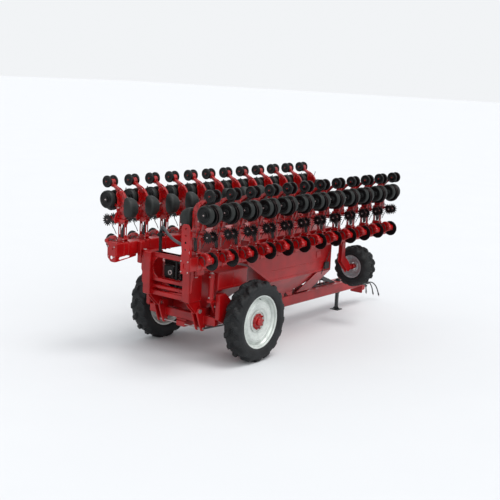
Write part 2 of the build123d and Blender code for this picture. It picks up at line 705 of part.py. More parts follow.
def toolbar():
    """Box beam, its end plate and the clamped ear bracket of every row."""
    y0, y1 = TOOLBAR_REAR_Y, TOOLBAR_FRONT_Y
    span = (TOOLBAR_IN_X, TOOLBAR_OUT_X, y0, y1, TOOLBAR_LOW_Z, TOOLBAR_TOP_Z)
    beam = tube(*span, TOOLBAR_WALL, TOOLBAR_WALL)
    plate = box(TOOLBAR_IN_X + 20, TOOLBAR_OUT_X - 20, y0 - END_PLATE_T, y0, TOOLBAR_LOW_Z - 60, END_PLATE_TOP_Z)
    half = LINK_W / 2 + EAR_PLAY + EAR_T
    seat = box(TOOLBAR_IN_X + 10, TOOLBAR_OUT_X - 10, -half - 30, half + 30, TOOLBAR_TOP_Z, TOOLBAR_TOP_Z + 14)
    return [beam, plate] + at_rows(seat + link_ears(LINK_ROOT_Z, TOOLBAR_TOP_Z))


def hinge_arm():
    """Block between the wing hinge and the toolbar."""
    low, high = HINGE_LOW_Z + LUG_T + SIDE_PLAY, POST_TOP_Z - LUG_T - SIDE_PLAY
    arm = box(ARM_ROOT_X, TOOLBAR_IN_X, HINGE_Y - ARM_HALF_W, HINGE_Y + ARM_HALF_W, low, TOOLBAR_TOP_Z)
    arm += box(HINGE_X, ARM_ROOT_X, HINGE_Y - HINGE_BARREL_R, HINGE_Y + HINGE_BARREL_R, low, high)
    arm += rod_z(HINGE_BARREL_R, low, high, HINGE_X, HINGE_Y)
    return arm - rod_z(HINGE_PIN_R + PIN_PLAY, low - 1, high + 1, HINGE_X, HINGE_Y)


def coulter_arm():
    """Flanged arm of one coulter disc, with its axle stub."""
    x0 = TOOLBAR_OUT_X
    arm = box(x0, x0 + 15, -30, 110, COULTER_Z - 70, COULTER_Z + 60)
    arm += bar_xz(26, (x0 + 30, COULTER_Z), (COULTER_X, COULTER_Z), 15, COULTER_OFFSET_Y - COULTER_T / 2 - 6)
    stub_end = COULTER_OFFSET_Y + COULTER_T / 2 + 14
    return arm + rod_y(UNIT_AXLE_R, 20, stub_end, COULTER_X, COULTER_Z)


def wheel(r, width, y, x, z, bore, hub_r, hub_w):
    """Wheel about the Y direction, with a wider hub and a bore."""
    body = rod_y(r, y - width / 2, y + width / 2, x, z)
    body += rod_y(hub_r, y - hub_w / 2, y + hub_w / 2, x, z)
    return body - rod_y(bore + PIN_PLAY, y - hub_w, y + hub_w, x, z)


def coulter_disc():
    return wheel(COULTER_R, COULTER_T, COULTER_OFFSET_Y, COULTER_X, COULTER_Z, UNIT_AXLE_R, 55, COULTER_T + 8)


def link(x):
    """Link bar with an eye at each end."""
    half = LINK_W / 2
    bar = box(x - LINK_BAR_T / 2, x + LINK_BAR_T / 2, -half, half, LINK_ROOT_Z, LINK_END_Z)
    for z in (LINK_ROOT_Z, LINK_END_Z):
        bar += rod_y(LINK_EYE_R, -half, half, x, z)
        bar -= rod_y(LINK_PIN_R + PIN_PLAY, -half - 1, half + 1, x, z)
    return bar


OPENER_X = SOIL_X + COULTER_DEPTH - OPENER_R
OPENER_Z = GAUGE_Z - 35.0
HEAD_Z = LINK_END_Z + 50.0
SHANK_HALF_T = 25.0
GAUGE_ARM_Y = (45.0, 65.0)
GAUGE_PIVOT = (1200.0, 3400.0)
STAR_ARM_HALF_T = 20.0
METER_X = 860.0
METER_Z = 3400.0
METER_R = 130.0
METER_HALF_W = 60.0


def unit_frame():
    """Shank of one row unit with its head, gauge wheel arms, star wheel arm and axles."""
    r = LINK_EYE_R
    ears = link_ears(LINK_END_Z, HEAD_Z + 1)
    half_w = LINK_W / 2 + EAR_PLAY + EAR_T
    frame = ears + box(UPPER_LINK_X - r, LOWER_LINK_X + r, -half_w, half_w, HEAD_Z, HEAD_Z + 40)
    shank = [
        (1000, HEAD_Z + 39),
        (LOWER_LINK_X + r, HEAD_Z + 39),
        (1300, 3400),
        (OPENER_X + 40, OPENER_Z - 40),
        (OPENER_X + 40, OPENER_Z + 50),
        (1300, 3620),
        (1185, CLOSING_PIVOT_Z + 30),
        (1115, CLOSING_PIVOT_Z + 30),
        (1000, 3600),
    ]
    frame += plate_xz(shank, -SHANK_HALF_T, SHANK_HALF_T)
    frame += rod_y(UNIT_AXLE_R, -OPENER_INNER_Y - 10, OPENER_INNER_Y + 10, OPENER_X, OPENER_Z)
    frame += rod_y(20, -GAUGE_ARM_Y[1], GAUGE_ARM_Y[1], *GAUGE_PIVOT)
    frame += rod_y(CLOSING_AXLE_R + 8, -46, 46, CLOSING_PIVOT_X, CLOSING_PIVOT_Z)
    axle_end = GAUGE_INNER_Y + GAUGE_W + 5
    for a, b in (GAUGE_ARM_Y, (-GAUGE_ARM_Y[1], -GAUGE_ARM_Y[0])):
        frame += bar_xz(25, GAUGE_PIVOT, (GAUGE_X, GAUGE_Z), a, b)
        frame += rod_y(UNIT_AXLE_R, min(a, -axle_end) if a < 0 else a, axle_end if a > 0 else b, GAUGE_X, GAUGE_Z)
    star_root = (LOWER_LINK_X - 20, HEAD_Z + 20)
    frame += bar_xz(18, star_root, (STAR_X, STAR_Z), -STAR_ARM_HALF_T, STAR_ARM_HALF_T)
    reach = STAR_Y + STAR_T / 2 + 8
    return frame + rod_y(UNIT_AXLE_R, -reach, reach, STAR_X, STAR_Z)


def seed_meter():
    """Drum of the seed meter with its neck on the shank."""
    drum = rod_y(METER_R, -METER_HALF_W, METER_HALF_W, METER_X, METER_Z)
    drum += rod_y(45, METER_HALF_W, METER_HALF_W + 25, METER_X, METER_Z)
    return drum + box(METER_X, 1000, -METER_HALF_W, METER_HALF_W, METER_Z - 60, METER_Z + 60)


def gauge_wheel():
    y = GAUGE_INNER_Y + GAUGE_W / 2
    return wheel(GAUGE_R, GAUGE_W, y, GAUGE_X, GAUGE_Z, UNIT_AXLE_R, 60, GAUGE_W + 20)


def opener_disc():
    y = OPENER_INNER_Y + OPENER_T / 2
    return wheel(OPENER_R, OPENER_T, y, OPENER_X, OPENER_Z, UNIT_AXLE_R, 50, OPENER_T + 2)


CLOSING_ARM_Y = (SHANK_HALF_T + 3.0, SHANK_HALF_T + 19.0)


def closing_arm():
    """Fork that carries both closing wheels of a row."""
    a, b = CLOSING_ARM_Y
    pivot, hub = (CLOSING_PIVOT_X, CLOSING_PIVOT_Z), (CLOSING_X, CLOSING_Z)
    fork = bar_xz(32, pivot, hub, a, b) + bar_xz(32, pivot, hub, -b, -a)
    t = 0.62
    mid = (pivot[0] + t * (hub[0] - pivot[0]), pivot[1] + t * (hub[1] - pivot[1]))
    fork += rod_y(20, -b, b, *mid)
    reach = CLOSING_INNER_Y + CLOSING_W + 6
    fork += rod_y(CLOSING_AXLE_R, -reach, reach, *hub)
    return fork - rod_y(CLOSING_AXLE_R + 8 + PIN_PLAY, -b - 1, b + 1, *pivot)


def closing_wheel():
    y = CLOSING_INNER_Y + CLOSING_W / 2
    return wheel(CLOSING_R, CLOSING_W, y, CLOSING_X, CLOSING_Z, CLOSING_AXLE_R, 38, CLOSING_W + 10)


def star_wheel():
    """Toothed disc of the row cleaner."""
    points = []
    for k in range(STAR_TEETH):
        for part, r in ((0.0, STAR_R), (0.18, STAR_R), (0.5, STAR_R - 48), (0.68, STAR_R - 48)):
            a = 2 * math.pi * (k + part) / STAR_TEETH
            points.append((STAR_X + r * math.cos(a), STAR_Z + r * math.sin(a)))
    disc = plate_xz(points, STAR_Y - STAR_T / 2, STAR_Y + STAR_T / 2)
    return disc - rod_y(UNIT_AXLE_R + PIN_PLAY, STAR_Y - STAR_T, STAR_Y + STAR_T, STAR_X, STAR_Z)


def pair(piece):
    """A piece and its mirror image on the other side of the row."""
    return [piece, mirror(piece, about=Plane.XZ)]


SUPPORT_LEG_X = (1060.0, 1180.0)
SUPPORT_SHANK_Y = (4060.0, 4200.0)
SUPPORT_KNEE_Z = 1800.0
SUPPORT_SEAT_T = 20.0
SUPPORT_STUB_R = 45.0
SUPPORT_HUB_R = 80.0
RIM_INSET = 40.0


def support_leg():
    """Bent leg of the wing wheel: its seat under the toolbar, shank, knee and axle stub."""
    top = TOOLBAR_LOW_Z - SUPPORT_SEAT_T
    rear, front = SUPPORT_SHANK_Y
    knee_rear, knee_front = (rear, SUPPORT_KNEE_Z), (front, SUPPORT_KNEE_Z + 100)
    stub_y = SUPPORT_Y - 370
    low, high = SUPPORT_Z - 85, SUPPORT_Z + 95
    shank = plate_yz([knee_rear, (rear, top), (front, top), knee_front], *SUPPORT_LEG_X)
    knee = plate_yz([knee_rear, knee_front, (stub_y, high), (stub_y, low), (stub_y - 80, low)], *SUPPORT_LEG_X)
    seat = box(TOOLBAR_IN_X, TOOLBAR_OUT_X, rear - 60, front + 60, top, TOOLBAR_LOW_Z)
    stub = rod_y(SUPPORT_STUB_R, stub_y, SUPPORT_Y + 150, SUPPORT_X, SUPPORT_Z)
    return [seat, shank, knee, stub]


def lathe_y(points, x, z):
    """Turns (radius, y) points about a line along Y."""
    return Pos(x, 0, z) * revolve(Plane.XY * make_face(Polyline(*points, close=True)), Axis.Y)


def support_tyre():
    """Wide flotation tyre, hollow and open towards its rim."""
    y0, y1 = SUPPORT_Y - SUPPORT_W / 2, SUPPORT_Y + SUPPORT_W / 2
    r0, r1 = SUPPORT_RIM_R, SUPPORT_R
    side, tread = 24.0, 40.0
    points = [
        (r0, y0 + RIM_INSET),
        (r0 + 70, y0),
        (r1 - 80, y0 + 15),
        (r1, y0 + 90),
        (r1, y1 - 90),
        (r1 - 80, y1 - 15),
        (r0 + 70, y1),
        (r0, y1 - RIM_INSET),
        (r0, y1 - RIM_INSET - side),
        (r0 + 70, y1 - side),
        (r1 - tread - 30, y1 - side - 15),
        (r1 - tread, y1 - 100),
        (r1 - tread, y0 + 100),
        (r1 - tread - 30, y0 + side + 15),
        (r0 + 70, y0 + side),
        (r0, y0 + RIM_INSET + side),
    ]
    return lathe_y(points, SUPPORT_X, SUPPORT_Z)


def support_rim():
    y0, y1 = SUPPORT_Y - SUPPORT_W / 2 + RIM_INSET, SUPPORT_Y + SUPPORT_W / 2 - RIM_INSET
    r = SUPPORT_RIM_R
    barrel = lathe_y([(r, y0), (r, y1), (r - 12, y1), (r - 12, y0)], SUPPORT_X, SUPPORT_Z)
    disc = rod_y(r - 6, SUPPORT_Y - 60, SUPPORT_Y - 45, SUPPORT_X, SUPPORT_Z)
    hub = rod_y(SUPPORT_HUB_R, SUPPORT_Y - 180, SUPPORT_Y + 175, SUPPORT_X, SUPPORT_Z)
    bore = rod_y(SUPPORT_STUB_R + PIN_PLAY, SUPPORT_Y - 181, SUPPORT_Y + 155, SUPPORT_X, SUPPORT_Z)
    return (barrel + disc + hub) - bore


# ---- hoses ---------------------------------------------------------------------------------------
def hose_route(x, drift):
    """Route of a drawbar hose: out of its gland, over the eye and down towards the ground."""
    y, z = RACK_Y[1] + GLAND_L, RACK_Z
    return [
        (x, y, z),
        (x, y + 110, z),
        (x + 0.2 * drift, y + 240, z - 30),
        (x + 0.5 * drift, y + 360, z - 115),
        (x + 0.8 * drift, y + 450, z - 240),
        (x + drift, y + 500, z - 380),
    ]


HOSE_DRIFTS = (-70.0, 35.0, 95.0)
HOSE_ROUTES = [hose_route(x, drift) for x, drift in zip(HOSE_X, HOSE_DRIFTS)]
AIR_HOSE_R = 35.0
AIR_END_X = 575.0
AIR_ROUTE = [
    (-MANIFOLD_X, MANIFOLD_Y, MANIFOLD_Z[1]),
    (-MANIFOLD_X, MANIFOLD_Y, MANIFOLD_Z[1] + 110),
    (-230, MANIFOLD_Y - 55, MANIFOLD_Z[1] + 150),
    (-60, MANIFOLD_Y - 85, MANIFOLD_Z[1]),
    (150, MANIFOLD_Y - 95, MANIFOLD_Z[1] - 110),
    (380, MANIFOLD_Y - 100, MANIFOLD_Z[1] - 170),
    (AIR_END_X - 30, MANIFOLD_Y - 55, MANIFOLD_Z[1] - 210),
    (AIR_END_X, MANIFOLD_Y, MANIFOLD_Z[1] - 310),
    (AIR_END_X, MANIFOLD_Y, POST_TOP_Z),
]


def hose(points, radius, name):
    """Round hose along straight runs joined by the largest arcs that they allow."""
    corners = [Vector(*p) for p in points]
    radii = []
    for a, b, c in zip(corners, corners[1:], corners[2:]):
        turn = math.radians((b - a).get_angle(c - b))
        radii.append(0.45 * min((b - a).length, (c - b).length) / math.tan(turn / 2))
    path = FilletPolyline(*corners, radius=radii)
    print(name, "length", round(path.length), "radii", [round(r) for r in radii])
    return sweep(Plane(origin=path @ 0, z_dir=path % 0) * Circle(radius), path)


def couplers():
    """Quick coupler on the free end of each drawbar hose."""
    bodies = []
    for route in HOSE_ROUTES:
        a, b = Vector(*route[-2]), Vector(*route[-1])
        plane = Plane(origin=b, z_dir=b - a)
        body = extrude(plane * Circle(COUPLER_R), 70) + extrude(plane.offset(70) * Circle(14), 40)
        bodies.append(body)
    return bodies


# ---- main ----------------------------------------------------------------------------------------
def wing_nodes():
    """Every node of the right wing, by name."""
    row = {
        "coulter_arms": [coulter_arm()],
        "coulter_discs": [coulter_disc()],
        "upper_links": [link(UPPER_LINK_X)],
        "lower_links": [link(LOWER_LINK_X)],
        "unit_frames": [unit_frame()],
        "seed_meters": [seed_meter()],
        "gauge_wheels": pair(gauge_wheel()),
        "opener_discs": pair(opener_disc()),
        "closing_arms": [closing_arm()],
        "closing_wheels": pair(closing_wheel()),
        "star_wheels": pair(star_wheel()),
    }
    nodes = {name: [copy for piece in pieces for copy in at_rows(piece)] for name, pieces in row.items()}
    nodes["toolbar"] = toolbar()
    nodes["hinge_arm"] = [hinge_arm()]
    nodes["wing_wheel_leg"] = support_leg()
    nodes["wing_wheel_tyre"] = [support_tyre()]
    nodes["wing_wheel_rim"] = [support_rim()]
    return nodes


def save_both(name, pieces):
    """A right-hand node and its mirror image as the left-hand one."""
    save(f"{name}_right", pieces)
    save(f"{name}_left", [mirror(piece, about=Plane.YZ) for piece in pieces])


def main():
    os.makedirs("parts", exist_ok=True)
    save("chassis_frame", chassis_frame())
    save("axle_beam", axle_beam())
    save("hitch_head", [hitch_head()])
    save("tow_eye", [tow_eye()])
    save("stand_sleeve", [stand_sleeve()])
    save("stand_leg", [stand_leg()])
    save("drawbar_brackets", drawbar_brackets())
    save("lift_cylinders", lift_cylinders())
    save("front_tank", tank(TANK_RINGS, TANK_WALL, TANK_HATCH))
    save("front_tank_lid", [lid(TANK_HATCH, TANK_TOP_Z)])
    save("rear_hopper", tank(BOX_RINGS, TANK_WALL, BOX_HATCH))
    save("rear_hopper_lid", [lid(BOX_HATCH, BOX_TOP_Z)])
    save("tank_cradle", tank_cradle())
    save("fan_housing", [fan_housing()])
    save("fan_rotor", [fan_rotor()])
    save("lift_frame", lift_frame())
    save("seed_manifold", manifold())
    save("air_hose", [hose(AIR_ROUTE, AIR_HOSE_R, "air_hose")])
    for k, route in enumerate(HOSE_ROUTES, start=1):
        save(f"drawbar_hose_{k}", [hose(route, HOSE_R, f"drawbar_hose_{k}")])
    save("hose_couplers", couplers())
    save_both("road_tyre", [road_tyre()])
    save_both("road_rim", [road_rim()])
    save_both("road_hub", road_hub())
    for name, pieces in wing_nodes().items():
        save_both(name, pieces)


if __name__ == "__main__":
    main()
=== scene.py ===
"""Folding precision planter in its road position, dressed over its fixed frame.

Metres, in the frame's own axes: +X is the machine's right side, +Y its front, +Z up. Shapes are drawn
about a point on the ground under the axle and shifted along Y as they are made.
"""

import json
import math

import bpy
import numpy as np
from mathutils import Matrix, Vector


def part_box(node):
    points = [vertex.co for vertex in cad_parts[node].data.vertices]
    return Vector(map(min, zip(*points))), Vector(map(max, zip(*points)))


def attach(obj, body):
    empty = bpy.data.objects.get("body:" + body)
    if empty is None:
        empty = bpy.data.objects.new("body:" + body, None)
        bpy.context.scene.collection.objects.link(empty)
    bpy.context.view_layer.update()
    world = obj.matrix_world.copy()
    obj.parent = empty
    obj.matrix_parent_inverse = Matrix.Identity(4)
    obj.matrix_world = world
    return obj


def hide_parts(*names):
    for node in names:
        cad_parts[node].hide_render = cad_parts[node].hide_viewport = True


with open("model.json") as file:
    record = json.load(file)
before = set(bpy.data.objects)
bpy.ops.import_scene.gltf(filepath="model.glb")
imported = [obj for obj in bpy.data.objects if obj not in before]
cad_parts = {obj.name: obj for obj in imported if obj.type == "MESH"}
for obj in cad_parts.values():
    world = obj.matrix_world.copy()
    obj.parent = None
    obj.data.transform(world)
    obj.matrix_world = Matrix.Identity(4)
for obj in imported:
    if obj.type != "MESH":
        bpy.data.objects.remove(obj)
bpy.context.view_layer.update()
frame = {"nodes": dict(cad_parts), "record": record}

bl_info = {
    "name": "Folding Planter",
    "version": (1, 0, 0),
    "blender": (4, 5, 0),
    "location": "View3D > Sidebar > Planter",
    "description": "Builds the wheels, row units, tanks, frames and hoses of a folding precision planter",
    "category": "Object",
}


def span(node):
    """Lowest and highest corner of a frame node, as arrays."""
    low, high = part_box(node)
    return np.array(low), np.array(high)


# ---- places read from the frame -------------------------------------------------------------------
TYRE_LOW, TYRE_HIGH = span("road_tyre_right")
AXLE_Y = (TYRE_LOW[1] + TYRE_HIGH[1]) / 2
TYRE_R = (TYRE_HIGH[2] - TYRE_LOW[2]) / 2
AXLE_Z = (TYRE_LOW[2] + TYRE_HIGH[2]) / 2
TYRE_W = TYRE_HIGH[0] - TYRE_LOW[0]
TYRE_X = (TYRE_LOW[0] + TYRE_HIGH[0]) / 2
SUPPORT_LOW, SUPPORT_HIGH = span("wing_wheel_tyre_right")
SUPPORT_X = (SUPPORT_LOW[0] + SUPPORT_HIGH[0]) / 2
SUPPORT_Z = (SUPPORT_LOW[2] + SUPPORT_HIGH[2]) / 2
SUPPORT_R = (SUPPORT_HIGH[2] - SUPPORT_LOW[2]) / 2
SUPPORT_W = SUPPORT_HIGH[1] - SUPPORT_LOW[1]
SUPPORT_Y = (SUPPORT_HIGH[1] + SUPPORT_LOW[1]) / 2 - AXLE_Y
PITCH = 0.7
ROWS = 12
ROW_Y = -1.8 + PITCH * np.arange(ROWS)


class PLANTER_PG_sizes(bpy.types.PropertyGroup):
    """Sizes that the pieces are drawn with."""

    tread_lugs: bpy.props.IntProperty(name="Road tyre lugs",
        description="Lugs on each half of a road tyre", default=17, min=8, max=30)
    lug_height: bpy.props.FloatProperty(name="Lug height", description="Depth of the road tyre's tread",
        default=0.055, min=0.01, max=0.1, unit="LENGTH")
    star_teeth: bpy.props.IntProperty(name="Star wheel teeth", description="Teeth of a row cleaner",
        default=14, min=8, max=24)
    plate_chamfer: bpy.props.FloatProperty(name="Plate chamfer",
        description="Broken edge of a thick plate", default=0.006, min=0.001, max=0.02, unit="LENGTH")
    hose_radius: bpy.props.FloatProperty(name="Drawbar hose radius",
        description="Radius of a drawbar hose", default=0.017, min=0.005, max=0.03, unit="LENGTH")


class PLANTER_PG_colours(bpy.types.PropertyGroup):
    """Colours of the finishes, as sRGB hex values."""

    enamel: bpy.props.StringProperty(name="Enamel", description="Gloss enamel of the steelwork",
        default="#a00408")
    enamel_dark: bpy.props.StringProperty(name="Enamel, thick",
        description="The same enamel where it lies thicker", default="#7c0306")
    rim: bpy.props.StringProperty(name="Rim paint", description="Paint of the road rims",
        default="#c9cfca")
    tyre: bpy.props.StringProperty(name="Tyre rubber", description="Rubber of the tyres",
        default="#0f1011")
    dust: bpy.props.StringProperty(name="Tyre bloom", description="Grey bloom on a tyre's side",
        default="#1e2022")
    plastic: bpy.props.StringProperty(name="Moulded plastic",
        description="Black moulded covers and wheels", default="#0d0e0f")
    hose: bpy.props.StringProperty(name="Air hose", description="Grey air hose", default="#43474b")


# ---- finishes -------------------------------------------------------------------------------------
def linear(code):
    """Linear colour of an sRGB hex value."""
    parts = np.array([int(code[i : i + 2], 16) for i in (1, 3, 5)]) / 255
    parts = np.where(parts <= 0.04045, parts / 12.92, ((parts + 0.055) / 1.055) ** 2.4)
    return (*parts.tolist(), 1.0)


def add_node(tree, kind, settings=None, links=None):
    """Adds one shader node, sets its sockets or fields by name, and links its inputs."""
    node = tree.nodes.new(kind)
    for key, value in (settings or {}).items():
        if isinstance(key, int) or key in node.inputs:
            node.inputs[key].default_value = value
        else:
            setattr(node, key, value)
    for key, (other, socket) in (links or {}).items():
        tree.links.new(other.outputs[socket], node.inputs[key])
    return node


def finish_of(name, colour, second, **facts):
    """A finish: two close colours mixed by soft noise, a bump, rounded edges and lighter worn edges.

    grain is the size of the colour clouds and bump_size that of the bump, both in millimetres.
    """
    material = bpy.data.materials.new(name)
    material.use_nodes = True
    tree = material.node_tree
    tree.nodes.clear()
    grain, bump_size = facts.get("grain", 300), facts.get("bump_size", 30)
    place = add_node(tree, "ShaderNodeTexCoord")
    cloud = add_node(tree, "ShaderNodeTexNoise", {"Scale": 1000 / grain, "Detail": 4.0, "Roughness": 0.6},
        {"Vector": (place, "Object")})
    shape = add_node(tree, "ShaderNodeMapRange", {"From Min": 0.35, "From Max": 0.65},
        {"Value": (cloud, "Fac")})
    mixed = add_node(tree, "ShaderNodeMix", {"data_type": "RGBA"}, {0: (shape, "Result")})
    mixed.inputs[6].default_value, mixed.inputs[7].default_value = linear(colour), linear(second)
    round_edge = add_node(tree, "ShaderNodeBevel", {"samples": 4, "Radius": facts.get("edge", 0.008)})
    true_face = add_node(tree, "ShaderNodeNewGeometry")
    bend = add_node(tree, "ShaderNodeVectorMath", {"operation": "DOT_PRODUCT"},
        {0: (round_edge, "Normal"), 1: (true_face, "Normal")})
    # Painted highlight: on the edges that the bevel finds, the colour is mixed towards the edge colour, a
    # lighter tone standing in for light; without one the edges take the second colour.
    edge_highlight_mask = add_node(tree, "ShaderNodeMapRange", {"From Min": 0.995, "From Max": 0.86,
        "To Max": facts.get("wear", 0.5)}, {"Value": (bend, "Value")})
    edge_mix = add_node(tree, "ShaderNodeMix", {"data_type": "RGBA"},
        {0: (edge_highlight_mask, "Result"), 6: (mixed, 2)})
    edge_mix.inputs[7].default_value = linear(facts.get("edge_colour", second))
    fine = add_node(tree, "ShaderNodeTexNoise", {"Scale": 1000 / bump_size, "Detail": 3.0},
        {"Vector": (place, "Object")})
    relief = add_node(
        tree,
        "ShaderNodeBump",
        {"Strength": facts.get("bump", 0.15), "Distance": facts.get("depth", 0.003)},
        {"Height": (fine, "Fac"), "Normal": (round_edge, "Normal")},
    )
    gloss = add_node(
        tree,
        "ShaderNodeMapRange",
        {"To Min": facts["roughness"] - facts.get("spread", 0.05),
            "To Max": facts["roughness"] + facts.get("spread", 0.05)},
        {"Value": (cloud, "Fac")},
    )
    shader = add_node(
        tree,
        "ShaderNodeBsdfPrincipled",
        {
            "Metallic": facts.get("metallic", 0.0),
            "IOR": facts.get("ior", 1.5),
            "Specular IOR Level": facts.get("shine", 0.5),
            "Coat Weight": facts.get("coat", 0.0),
            "Coat Roughness": facts.get("coat_roughness", 0.08),
        },
        {"Base Color": (edge_mix, 2), "Roughness": (gloss, "Result"), "Normal": (relief, "Normal")},
    )
    add_node(tree, "ShaderNodeOutputMaterial", None, {"Surface": (shader, "BSDF")})
    return material


FINISHES = {}


def make_finishes(colours):
    """Makes every finish of the machine."""
    # Two-coat gloss enamel, sprayed: a deep red with a clear wet shine and an orange-peel skin. The
    # peel is drawn 30 mm wide, about ten times the real one, so that it shows on a ten-metre machine.
    # Its edges are painted a lit orange-red, a painted highlight.
    FINISHES["gloss_enamel"] = finish_of(
        "gloss_enamel", colours.enamel, colours.enamel_dark, roughness=0.33, coat=0.16,
            coat_roughness=0.1, shine=0.34,
        grain=600, bump_size=30, bump=0.06, wear=0.4, edge_colour="#d2332e",
    )
    # The same enamel on small castings, a touch brighter, with a brighter painted highlight on its edges.
    FINISHES["cast_enamel"] = finish_of(
        "cast_enamel", "#a90306", "#700103", roughness=0.28, coat=0.25, coat_roughness=0.08, shine=0.4,
        grain=90, bump_size=14, bump=0.12, wear=0.45, edge_colour="#e2382e",
    )
    # Silver rim lacquer on pressed steel: pale, slightly green-grey, satin.
    # Its edges are painted near-white, a painted highlight.
    FINISHES["rim_lacquer"] = finish_of(
        "rim_lacquer", colours.rim, "#b4bab6", roughness=0.34, metallic=0.25, coat=0.3,
        grain=160, bump_size=20, bump=0.08, wear=0.5, edge_colour="#f4f6f4",
    )
    # Galvanised pressed rim of the wing wheels: bare zinc grey with a cloudy spangle.
    # Its edges are painted a lighter grey, a painted highlight.
    FINISHES["zinc_steel"] = finish_of(
        "zinc_steel", "#b9bcbf", "#989b9f", roughness=0.36, metallic=0.55,
        grain=60, bump_size=18, bump=0.1, wear=0.5, edge_colour="#c9cccf",
    )
    # Carbon-black tyre rubber, moulded: soft shine, grey bloom and dust on the side walls.
    # Its edges, the lug corners among them, are painted a lighter grey, a painted highlight.
    FINISHES["tyre_rubber"] = finish_of(
        "tyre_rubber", colours.tyre, colours.dust, roughness=0.6, shine=0.28, grain=260, bump_size=24,
            bump=0.35, depth=0.004,
        wear=0.3, edge_colour="#34373a",
    )
    # Grey-green rubber of the gauge wheel treads, rolled smooth by the soil.
    # Its edges are painted a paler grey-green, a painted highlight.
    FINISHES["gauge_rubber"] = finish_of(
        "gauge_rubber", "#131716", "#1d2120", roughness=0.5, shine=0.3, grain=120, bump_size=12,
            bump=0.15,
        wear=0.3, edge_colour="#4a504e",
    )
    # Glass-filled nylon, moulded black: dull with a fine pebble skin, drawn 10 mm wide so that it shows.
    # Its edges are painted a lighter grey, a painted highlight.
    FINISHES["moulded_nylon"] = finish_of(
        "moulded_nylon", colours.plastic, "#050607", roughness=0.42, shine=0.25, grain=120, bump_size=10,
            bump=0.2,
        wear=0.35, edge_colour="#2c2f32",
    )
    # Blued spring steel of the discs: nearly black with a soft metal shine.
    # Its edges are painted a lighter reddish grey, a painted highlight.
    FINISHES["disc_steel"] = finish_of(
        "disc_steel", "#101113", "#070809", roughness=0.32, metallic=0.45, shine=0.35, grain=70,
            bump_size=9, bump=0.15,
        wear=0.5, edge_colour="#5a4848",
    )
    # Black chassis paint on small brackets and steps.
    # Its edges are painted a lighter grey, a painted highlight.
    FINISHES["chassis_black"] = finish_of(
        "chassis_black", "#131415", "#1d1e20", roughness=0.4, coat=0.15, grain=200, bump_size=20,
            bump=0.1,
        wear=0.4, edge_colour="#3d4042",
    )
    # Bright zinc bolts and pins, painted pinkish: a painted reflection of the red around them. Their edges are
    # painted towards the darker pink.
    FINISHES["bright_zinc"] = finish_of(
        "bright_zinc", "#c7b8b6", "#a39291", roughness=0.3, metallic=0.7, grain=30, bump_size=8, bump=0.1,
    )
    # Synthetic rubber hose cover, matt black.
    # Its edges are painted a little lighter, a painted highlight.
    FINISHES["hose_rubber"] = finish_of(
        "hose_rubber", "#151617", "#222426", roughness=0.55, grain=60, bump_size=9, bump=0.25,
    )
    # Grey wire-wound air hose with a smooth cover.
    # Its edges are painted a lighter grey, a painted highlight.
    FINISHES["air_hose"] = finish_of(
        "air_hose", colours.hose, "#2f3336", roughness=0.45, grain=80, bump_size=16, bump=0.25,
        wear=0.2, edge_colour="#6f7478",
    )


SLOT_FINISH = {
    "red_paint": "gloss_enamel",
    "rim_paint": "rim_lacquer",
    "dark_steel": "chassis_black",
    "disc_steel": "disc_steel",
    "black_plastic": "moulded_nylon",
    "hose_rubber": "hose_rubber",
    "grey_hose": "air_hose",
    "tyre_rubber": "tyre_rubber",
}


# ---- surfaces -------------------------------------------------------------------------------------
def grid(points, wrap_rows=False, wrap_columns=False):
    """A surface through a table of points: each cell between neighbouring rows and columns is one face."""
    rows, columns = points.shape[:2]
    index = np.arange(rows * columns).reshape(rows, columns)
    if wrap_rows:
        index = np.vstack([index, index[:1]])
    if wrap_columns:
        index = np.hstack([index, index[:, :1]])
    quads = np.stack([index[:-1, :-1], index[1:, :-1], index[1:, 1:], index[:-1, 1:]], axis=-1)
    return points.reshape(-1, 3), [quads.reshape(-1, 4)]


def outward(piece):
    """The closed piece with its faces turned outwards: six times its volume is the sum, over the
    triangles of each face, of one corner's product with the cross product of the other two."""
    verts, faces = piece
    volume = 0.0
    for block in faces:
        first = verts[block[:, 0]]
        for k in range(1, block.shape[1] - 1):
            volume += np.sum(first * np.cross(verts[block[:, k]], verts[block[:, k + 1]]))
    return piece if volume >= 0 else (verts, [block[:, ::-1] for block in faces])


def loft(rings):
    """A closed skin over a stack of rings with as many points each, capped at both ends."""
    table = np.stack(rings)
    verts, faces = grid(table, wrap_columns=True)
    count = table.shape[1]
    last = len(verts) - count
    caps = np.array([np.arange(count), last + np.arange(count)])
    caps[1] = caps[1][::-1]
    return outward((verts, faces + [caps[:1, ::-1], caps[1:, ::-1]]))


def joined(*pieces):
    """Several surfaces as one, with their points numbered on."""
    verts, faces, start = [], [], 0
    for piece_verts, piece_faces in pieces:
        verts.append(piece_verts)
        faces += [block + start for block in piece_faces]
        start += len(piece_verts)
    return np.vstack(verts), faces


def mirrored(piece, axis=0):
    """The piece's mirror image across one axis, with its faces turned round."""
    sign = np.ones(3)
    sign[axis] = -1
    return piece[0] * sign, [block[:, ::-1] for block in piece[1]]


def copies(piece, shifts):
    """Copies of a piece, one at each (x, y, z) shift, made as whole arrays."""
    shifts = np.asarray(shifts, float)
    verts = (piece[0][None] + shifts[:, None]).reshape(-1, 3)
    starts = np.arange(len(shifts)) * len(piece[0])
    faces = [(block[None] + starts[:, None, None]).reshape(-1, block.shape[1]) for block in piece[1]]
    return verts, faces


def at_rows(piece):
    return copies(piece, [(0, y, 0) for y in ROW_Y])


AXIS_ORDER = {"x": [2, 0, 1], "y": [1, 2, 0], "z": [0, 1, 2]}


